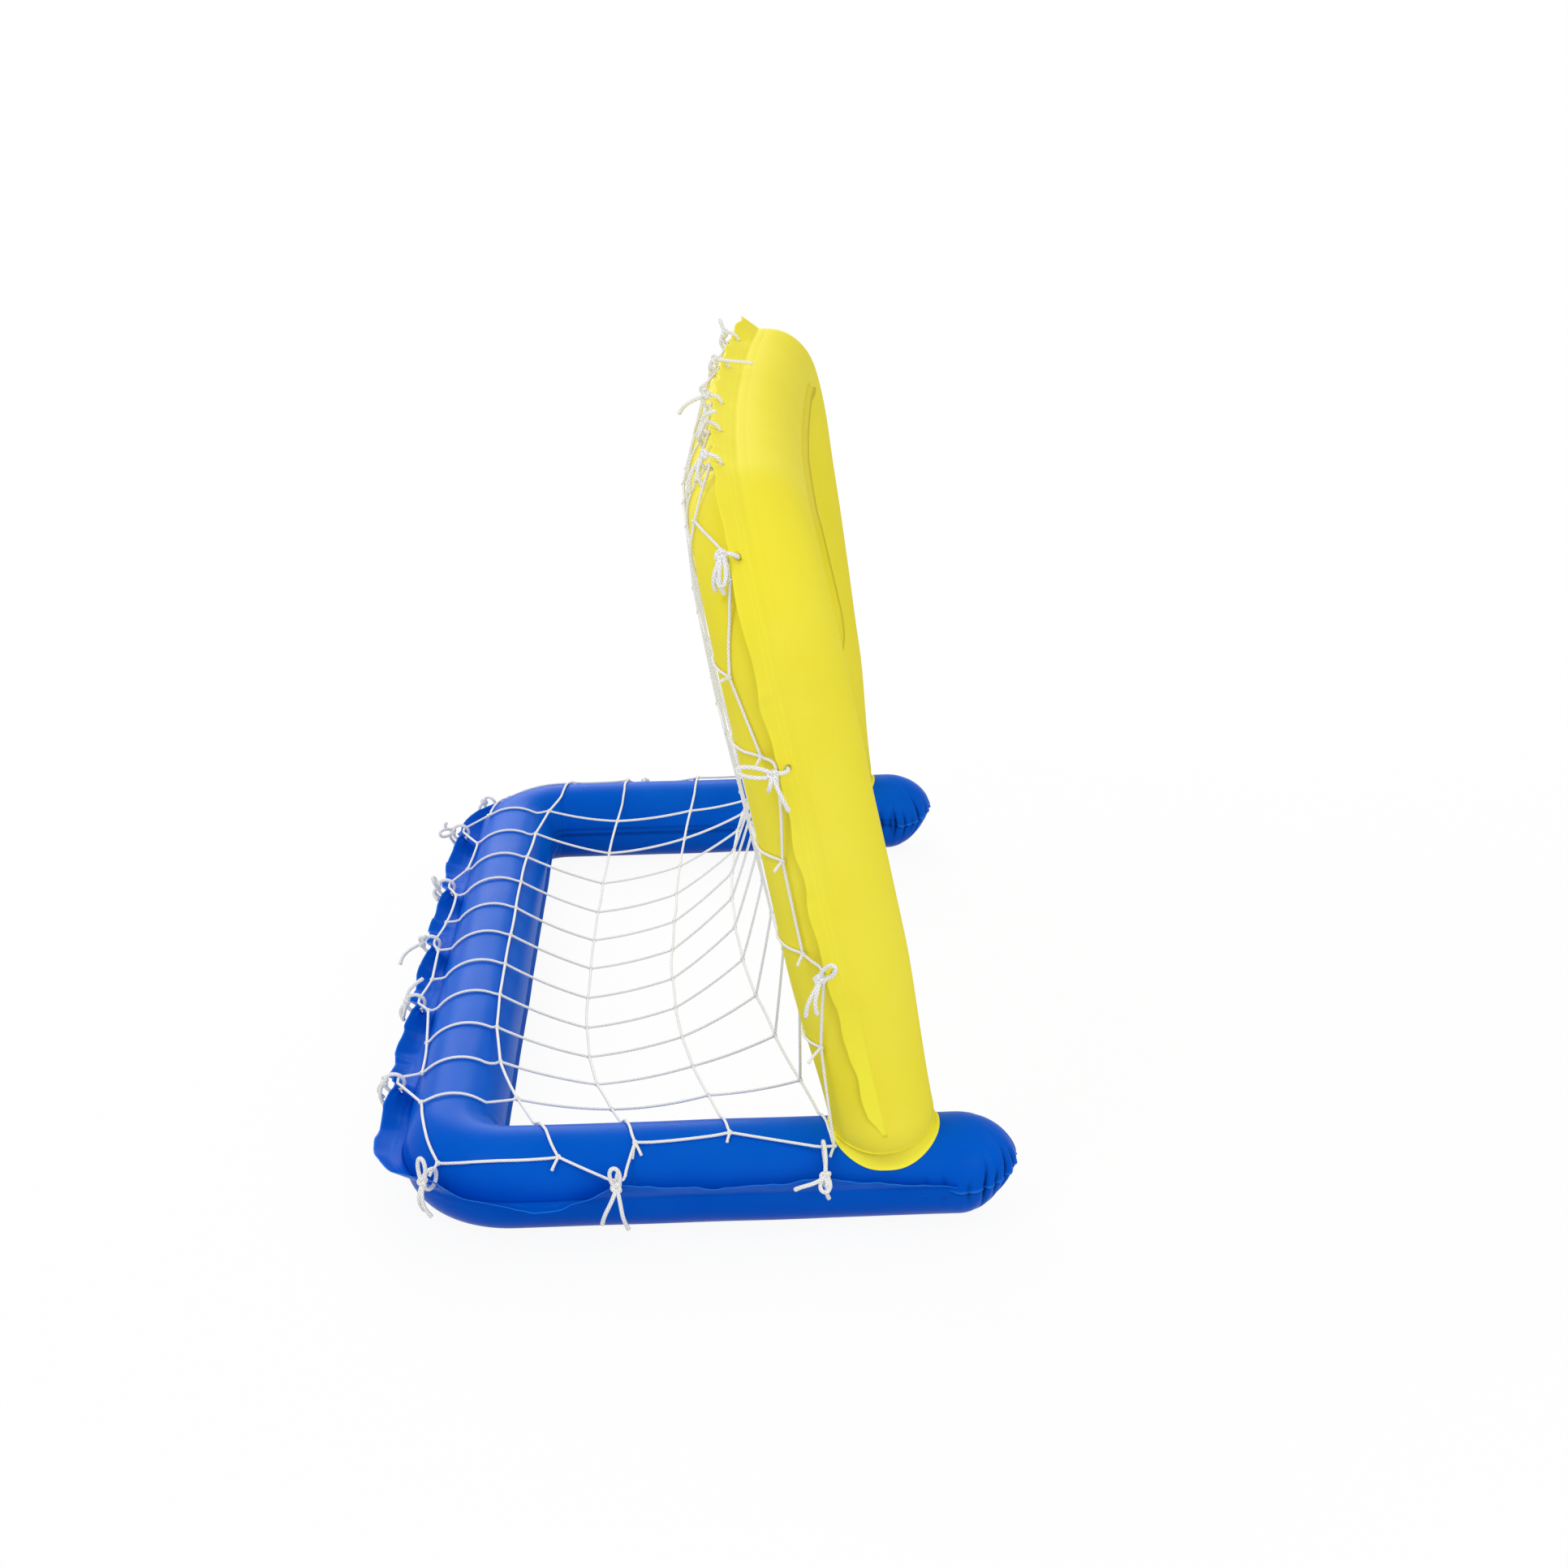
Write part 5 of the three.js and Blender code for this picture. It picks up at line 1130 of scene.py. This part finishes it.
# A knot of the net: two tight turns of cord, each an ellipse round one of the strands that cross
def addNetKnot(shape, place, along, across):
    normal = unit(np.cross(along, across))
    turn = roundTurns(10)[:, None]
    for axis, other, lean in ((along, across, netKnot["lean"]), (across, along, -netKnot["lean"])):
        centre = place + axis * netKnot["apart"] * lean
        wide = netKnot["width"] * np.cos(turn) * unit(other + lean * axis)
        path = centre + (wide + netKnot["height"] * np.sin(turn) * normal)
        addCord(shape, path, netKnot["radius"], 6, closed=True)


# A loose end, drooping with the square of its length and melted a little thicker at its tip
def addStub(shape, place, course, length):
    share = np.linspace(0, 1, 5)[:, None]
    droop = -up * stubForm["droop"] * length * share**2
    path = place + unit(np.array(course)) * length * share + droop
    path = clearOfTubes(path, netCord["radius"] + stubForm["off"])
    path = smoothPath(path, stubForm["step"])
    melted = np.interp(np.linspace(0, 1, len(path)), [stubForm["meltedFrom"], 1],
                       [1, stubForm["melted"]])
    addCord(shape, path, netCord["radius"] * melted)


# Loose ends left at border knots: line, side, course and length
stubs = [
    (0, 1, (-0.9, 0.5, -0.2), 20), (1, 1, (-0.8, 0.5, -0.5), 17), (2, 1, (-0.9, 0.2, -0.6), 19),
    (2, 1, (-0.8, -0.5, -0.5), 17), (3, 1, (-0.9, 0.3, -0.4), 13), (4, 1, (-0.9, 0.4, -0.3), 15),
    (5, 1, (-0.7, 0.7, -0.3), 24), (6, 1, (-0.8, 0.5, -0.5), 15), (7, 1, (-0.7, 0.6, -0.3), 16),
    (8, 1, (-0.8, 0.5, -0.4), 15), (9, 1, (-0.7, 0.5, 0.2), 17), (1, -1, (0.8, 0.5, -0.3), 18),
    (3, -1, (0.8, 0.4, -0.3), 16), (5, -1, (0.8, 0.5, -0.3), 20), (7, -1, (0.7, 0.6, -0.3), 18),
    (9, -1, (0.7, 0.6, -0.2), 16),
]


# The knots and strands from one line to another; the curtain also has the strands that lead to it
def netBlock(firstLine, lastLine, leadsIn):
    shape = newShape()
    lines = range(firstLine - 1 if leadsIn else firstLine, lastLine + 1)
    for line in lines:
        for place in range(acrossGaps + 1):
            here = knots[line, place]
            if line >= firstLine:
                along = knots[min(line + 1, topLine), place] - knots[max(line - 1, 0), place]
                across = knots[line, min(place + 1, acrossGaps)] - knots[line, max(place - 1, 0)]
                addNetKnot(shape, here, unit(along), unit(across))
                if place < acrossGaps:
                    held = tiesOnStrand(line, place, True)
                    path = strandPath(here, knots[line, place + 1], held, False)
                    addCord(shape, path, netCord["radius"])
            if line < lastLine:
                held = tiesOnStrand(line, place, False)
                path = strandPath(here, knots[line + 1, place], held, line < floorLines)
                addCord(shape, path, netCord["radius"])
    for line, sign, course, length in stubs:
        if firstLine <= line <= lastLine:
            addStub(shape, knots[line, acrossGaps if sign > 0 else 0], course, length)
    return shape


putPiece("net_floor_cords", netBlock(0, floorLines - 1, False), netWhite, "net_cord", ["net_floor"])
putPiece("net_curtain_cords", netBlock(floorLines, topLine, True), netWhite, "net_cord",
         ["net_curtain"])
print("net made")


# Ties: a loop through the eyelet and round the border cord, a knot, drooping tails and round bows.
# The knot is a trefoil: sin t + 2 sin 2t, cos t - 2 cos 2t, and -sin 3t along the way out
def tieShape(name):
    shape = newShape()
    at = tieAt(name)
    _, _, loop, tails, bows = ties[name]
    radius, sides, step, lift = (tieCord[key] for key in ("radius", "sides", "step", "tailLift"))
    path = smoothPath(inLoop(at, loop["path"]), step, closed=True)
    slack = np.sin(4 * np.pi * np.arange(len(path)) / len(path))[:, None]
    addCord(shape, path + tieCord["loopSway"] * slack * at["tangent"], radius, sides, closed=True)
    knot = inLoop(at, loop["knot"])
    away = unit((at["direction"] - at["normal"]) * [1, 1, 0])
    sideways = np.cross(up, away)
    spin = chance.uniform(0, chanceTurn)
    turn = roundTurns(48)[:, None]
    x, y = np.sin(turn) + 2 * np.sin(2 * turn), np.cos(turn) - 2 * np.cos(2 * turn)
    z = -tieCord["knotDepth"] * np.sin(3 * turn)
    first = sideways * np.cos(spin) + up * np.sin(spin)
    second = -sideways * np.sin(spin) + up * np.cos(spin)
    trefoil = knot + tieCord["knotSize"] * (x * first + y * second + z * away)
    addCord(shape, trefoil, radius, sides, closed=True)
    def courseOf(degrees, lean):
        turned, leaned = np.radians([degrees, lean])
        flat = -up * np.cos(turned) + sideways * np.sin(turned)
        return flat * np.cos(leaned) + away * np.sin(leaned)
    for degrees, length, lean in tails:
        course = courseOf(degrees, lean)
        share = np.linspace(0, 1, 7)[:, None]
        droop = tieCord["tailDroop"] * length * share**2 * np.hypot(course[0], course[1])
        wave = tieCord["tailWave"] * np.sin(share * tieCord["tailTurn"] + spin) * share
        path = (knot + course * length * share + away * lift * np.sin(np.pi * share)
                - up * droop + np.cross(course, away) * wave)
        path = smoothPath(path, step)
        melted = bell(np.arange(len(path)), len(path) - 2, tieCord["meltedLength"])
        addCord(shape, path, radius * (1 + tieCord["melted"] * melted), sides)
    for degrees, length, lean in bows:
        course = courseOf(degrees, lean)
        across = unit(np.cross(course, away))
        swing = roundTurns(20)[:, None]
        reach = (1 - np.cos(swing)) / 2
        breadth = np.sin(swing) * (tieCord["bowNeck"] + tieCord["bowSwell"] * reach)
        path = (knot + course * length * reach + away * lift * reach
                + across * tieCord["bowWidth"] / 2 * breadth)
        addCord(shape, smoothPath(path, step, closed=True), radius, sides, closed=True)
    return shape


for name in ties:
    putPiece(f"{name}_cord", tieShape(name), tieWhite, "tie_cord", [name])
print("ties made")

# Valves: local z points out of the tube, x along it, y across
valve = {"pocketRadius": 17, "pocketDepth": 44, "lip": 5, "seatRadius": 16, "seatWall": 1.5,
         "seatDrop": 1, "seatHeight": 9, "stemRadius": 6, "stemBore": 4, "stemDrop": 3,
         "stemLength": 25, "stopRadius": 7.8, "stopHeight": 2, "capRadius": 6.5, "capThick": 1.5,
         "plugRadius": 3.2, "plugTip": 2.8, "plugLength": 3, "hingeReach": 8.5, "hingeWidth": 4,
         "lugHeight": 2.7, "checkRadius": 7, "checkThick": 0.8, "gap": 0.3, "sides": 56,
         "facetsRound": 2}
strap = {"sides": 24, "square": 0.35, "endSize": 0.8, "endLength": 0.5}
valvePlaces = {"base_valve": (base, behindPost(0.554, -1)), "arch_valve": (arch, onPost(0.22, -1))}


# A valve's place and axes: on the middle of a flat, two of the solid's sides round from the seam
def valveAxes(name):
    tube, along = valvePlaces[name]
    at = {key: value[0] for key, value in tubeAt(tube, along).items()}
    turn = -2 * np.pi * valve["facetsRound"] / goal["solidSides"]
    axis = unit(at["outward"] * np.cos(turn) + at["side"] * np.sin(turn))
    origin = at["centre"] + axis * at["radius"] * facetShare
    x = unit(at["tangent"] - (at["tangent"] @ axis) * axis)
    return origin, np.stack([x, np.cross(axis, x), axis])


# A turned form: a closed outline of radius and height, carried round the valve's axis
def addTurned(shape, axes, outline):
    origin, frameAxes = axes
    outline = np.array(outline, float)
    turn = roundTurns(valve["sides"])
    r, z = outline[:, 0][:, None], outline[:, 1][:, None] + 0 * turn
    local = np.stack([r * np.cos(turn), r * np.sin(turn), z], 2)
    if outline[0, 0] > 0:
        addGrid(shape, origin + local @ frameAxes, wrapAlong=True)
    else:
        ids = addGrid(shape, origin + local[1:-1] @ frameAxes)
        addFan(shape, ids[0], origin + local[0, 0] @ frameAxes, True)
        addFan(shape, ids[-1], origin + local[-1, 0] @ frameAxes, False)


# A rounded strap: a loop of width and height, made squarer by a power, carried along local x
def addStrap(shape, axes, start, end):
    origin, frameAxes = axes
    turn = roundTurns(strap["sides"]) + np.pi / strap["sides"]
    y = squared(np.cos(turn), strap["square"]) * (end[1] - start[1]) / 2
    z = squared(np.sin(turn), strap["square"]) * (end[2] - start[2]) / 2
    middle, short = (start[2] + end[2]) / 2, strap["endLength"]
    rows = []
    for x, size in ((start[0], strap["endSize"]), (start[0] + short, 1),
                    (end[0] - short, 1), (end[0], strap["endSize"])):
        rows.append(np.stack([x + 0 * y, size * y, size * z + middle], 1))
    ids = addGrid(shape, origin + np.stack(rows) @ frameAxes)
    for row, x, isStart in ((0, start[0], True), (-1, end[0], False)):
        addFan(shape, ids[row], origin + np.array([x, 0, middle]) @ frameAxes, isStart)


# Outlines as radius and height, with corners broken by a few tenths of a millimetre: the seat's cup
def seatOutline():
    v = valve
    floor, topEdge, wall = -v["seatDrop"] - v["seatHeight"], -v["seatDrop"], v["seatWall"]
    hole, r = v["stemRadius"] + v["gap"], v["seatRadius"]
    return [(hole, floor), (r - 0.6, floor), (r, floor + 0.6), (r, topEdge - 0.5),
            (r - wall / 2, topEdge), (r - wall, topEdge - 0.5), (r - wall, floor + wall + 1.5),
            (r - wall - 1.5, floor + wall), (hole + 1.2, floor + wall),
            (hole, floor + wall + 0.4)]


# The stem: a tube with a stop ring at its foot
def stemOutline():
    v = valve
    bore, r, stop = v["stemBore"], v["stemRadius"], v["stopRadius"]
    foot, topEdge = -v["stemDrop"] - v["stemLength"], -v["stemDrop"]
    stopTop = foot + v["stopHeight"]
    return [(bore, foot), (stop - 0.4, foot), (stop, foot + 0.5), (stop, stopTop - 0.4),
            (stop - 0.5, stopTop), (r, stopTop + 0.3), (r, topEdge - 0.5), (r - 0.5, topEdge),
            (bore + 0.4, topEdge), (bore, topEdge - 0.4)]


# The cap: a dished disc with a tapered plug under it
def capOutline():
    v = valve
    plug, plugTip, r = v["plugRadius"], v["plugTip"], v["capRadius"]
    rim = v["gap"] - v["stemDrop"]
    foot, face = rim - v["plugLength"], rim + v["capThick"]
    return [(0, foot), (plugTip - 0.4, foot), (plugTip, foot + 0.4), (plug, rim - 0.2),
            (plug + 0.2, rim), (r - 0.3, rim), (r, rim + 0.3), (r, face - 0.5), (r - 0.5, face),
            (r - 2, face), (r - 2.6, face - 0.35), (0, face - 0.35)]


# The check: a thin disc under the stem
def checkOutline():
    v = valve
    r, topEdge = v["checkRadius"], -v["stemDrop"] - v["stemLength"] - v["gap"]
    under = topEdge - v["checkThick"]
    return [(0, under), (r - 0.2, under), (r, topEdge - v["checkThick"] / 2), (r - 0.2, topEdge),
            (0, topEdge)]


# The pocket is cut out of the skin with a turned form that flares at the mouth
def cutPocket(piece, name):
    shape = newShape()
    r, deep, lip = valve["pocketRadius"], -valve["pocketDepth"], valve["lip"]
    addTurned(shape, valveAxes(name), [
        (0, deep), (r - 2, deep), (r, deep + 2), (r, -lip), (r + 0.4, -lip / 2), (r + 1.6, -1),
        (r + 4.5, 1.5), (r + 9, 6), (0, 6)])
    cutter = putPiece(f"{name}_pocket", shape, piece.data.materials[0], piece["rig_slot"])
    change = piece.modifiers.new("pocket", "BOOLEAN")
    change.operation = "DIFFERENCE"
    change.solver = "EXACT"
    change.object = cutter
    graph = bpy.context.evaluated_depsgraph_get()
    cutMesh = bpy.data.meshes.new_from_object(piece.evaluated_get(graph))
    piece.modifiers.clear()
    piece.data = cutMesh
    bpy.data.objects.remove(cutter, do_unlink=True)


for name, skinPiece in (("base_valve", baseSkinPiece), ("arch_valve", archSkinPiece)):
    cutPocket(skinPiece, name)
    axes = valveAxes(name)
    v = valve
    seat, stem, cap, check = newShape(), newShape(), newShape(), newShape()
    addTurned(seat, axes, seatOutline())
    addTurned(stem, axes, stemOutline())
    lugTop = -v["stemDrop"] - v["gap"]
    addStrap(stem, axes, (-v["hingeReach"], -v["hingeWidth"] / 2, lugTop - v["lugHeight"]),
             (-(v["stemBore"] + v["stemRadius"]) / 2, v["hingeWidth"] / 2, lugTop))
    addTurned(cap, axes, capOutline())
    capLow = v["gap"] - v["stemDrop"]
    addStrap(cap, axes, (-v["hingeReach"], -v["hingeWidth"] / 2, capLow),
             (-v["plugRadius"], v["hingeWidth"] / 2, capLow + v["capThick"]))
    addTurned(check, axes, checkOutline())
    for part, shape, body in (("seat", seat, "goal"), ("stem", stem, f"{name}_stem"),
                              ("cap", cap, f"{name}_cap"), ("check", check, f"{name}_check")):
        putPiece(f"{name}_{part}_moulding", shape, valveClear, "clear_pvc", [f"{name}_{part}"],
                 body)
print("valves made")

# Floor, world and lamps: plain and pale. A lamp: place, aim and size in metres, power in watts
stage = {"floorSize": 40, "floorDrop": 0.0015, "skyStrength": 0.72, "floorGlow": 0.93,
         "floorBounce": "#e2e2e2", "floorDull": "#f4f4f4", "white": "#ffffff", "plainFrom": 1.2,
         "plainTo": 2.6}
lamps = {
    "keyLamp": ((-1.8, 1.8, 3.6), (0, 0, 0.3), 1.6, 27),
    "fillLamp": ((-3.4, -1.8, 1.6), (0, 0, 0.3), 2.4, 22),
    "backLamp": ((3.4, 0.9, 2.0), (0, 0, 0.2), 3.0, 70),
}


# One where a ray comes from the camera, a reflection or a clear piece, otherwise zero
def seenDirectly(tree):
    ray = addNode(tree, "ShaderNodeLightPath")
    inGloss = addNode(tree, "ShaderNodeMath", {0: ray.outputs["Is Glossy Ray"],
                      1: ray.outputs["Is Transmission Ray"]}, operation="MAXIMUM")
    return addNode(tree, "ShaderNodeMath", {0: ray.outputs["Is Camera Ray"], 1: inGloss.outputs[0]},
                   operation="MAXIMUM").outputs[0]


# The floor turns to plain white away from the goal, so no horizon shows
def paleStage():
    material, tree = newMaterial("paleFloor")
    place = addNode(tree, "ShaderNodeTexCoord")
    reach = addNode(tree, "ShaderNodeVectorMath", {0: place.outputs["Object"]}, operation="LENGTH")
    plain = addNode(tree, "ShaderNodeMapRange", {"Value": reach.outputs["Value"],
                    "From Min": stage["plainFrom"], "From Max": stage["plainTo"],
                    "To Min": stage["floorGlow"], "To Max": 1.0})
    bounce = addNode(tree, "ShaderNodeBsdfDiffuse", {"Color": linear(stage["floorBounce"])})
    dull = addNode(tree, "ShaderNodeBsdfDiffuse", {"Color": linear(stage["floorDull"])})
    glow = addNode(tree, "ShaderNodeEmission", {"Color": linear(stage["white"]), "Strength": 1.0})
    seen = addNode(tree, "ShaderNodeMixShader", {0: plain.outputs["Result"], 1: dull.outputs[0],
                                                 2: glow.outputs[0]})
    both = addNode(tree, "ShaderNodeMixShader", {0: seenDirectly(tree), 1: bounce.outputs[0],
                                                 2: seen.outputs[0]})
    addNode(tree, "ShaderNodeOutputMaterial", {"Surface": both.outputs[0]})
    half, z = stage["floorSize"] / 2, -stage["floorDrop"]
    corners = [(-half, -half, z), (half, -half, z), (half, half, z), (-half, half, z)]
    mesh = bpy.data.meshes.new("floor")
    mesh.from_pydata(corners, [], [(0, 1, 2, 3)])
    mesh.materials.append(material)
    floor = bpy.data.objects.new("floor", mesh)
    bpy.context.scene.collection.objects.link(floor)
    world = bpy.data.worlds.new("paleWorld")
    world.use_nodes = True
    tree = world.node_tree
    tree.nodes.clear()
    sky = addNode(tree, "ShaderNodeBackground", {"Color": linear(stage["white"]),
                  "Strength": stage["skyStrength"]})
    back = addNode(tree, "ShaderNodeBackground", {"Color": linear(stage["white"]), "Strength": 1.0})
    both = addNode(tree, "ShaderNodeMixShader", {0: seenDirectly(tree), 1: sky.outputs[0],
                                                 2: back.outputs[0]})
    addNode(tree, "ShaderNodeOutputWorld", {"Surface": both.outputs[0]})
    bpy.context.scene.world = world


# A round area lamp turned from its place towards its aim
def softLamp(name, place, aim, size, power):
    lamp = bpy.data.lights.new(name, "AREA")
    lamp.shape = "DISK"
    lamp.size = size
    lamp.energy = power
    holder = bpy.data.objects.new(name, lamp)
    holder.location = place
    course = np.array(aim, float) - np.array(place, float)
    yaw = np.arctan2(course[1], course[0])
    pitch = np.arctan2(np.hypot(course[0], course[1]), -course[2])
    holder.rotation_euler = Euler((pitch, 0, yaw - np.pi / 2))
    bpy.context.scene.collection.objects.link(holder)


paleStage()
for name, lamp in lamps.items():
    softLamp(name, *lamp)
bpy.context.scene.view_settings.view_transform = "Standard"
print("stage made")
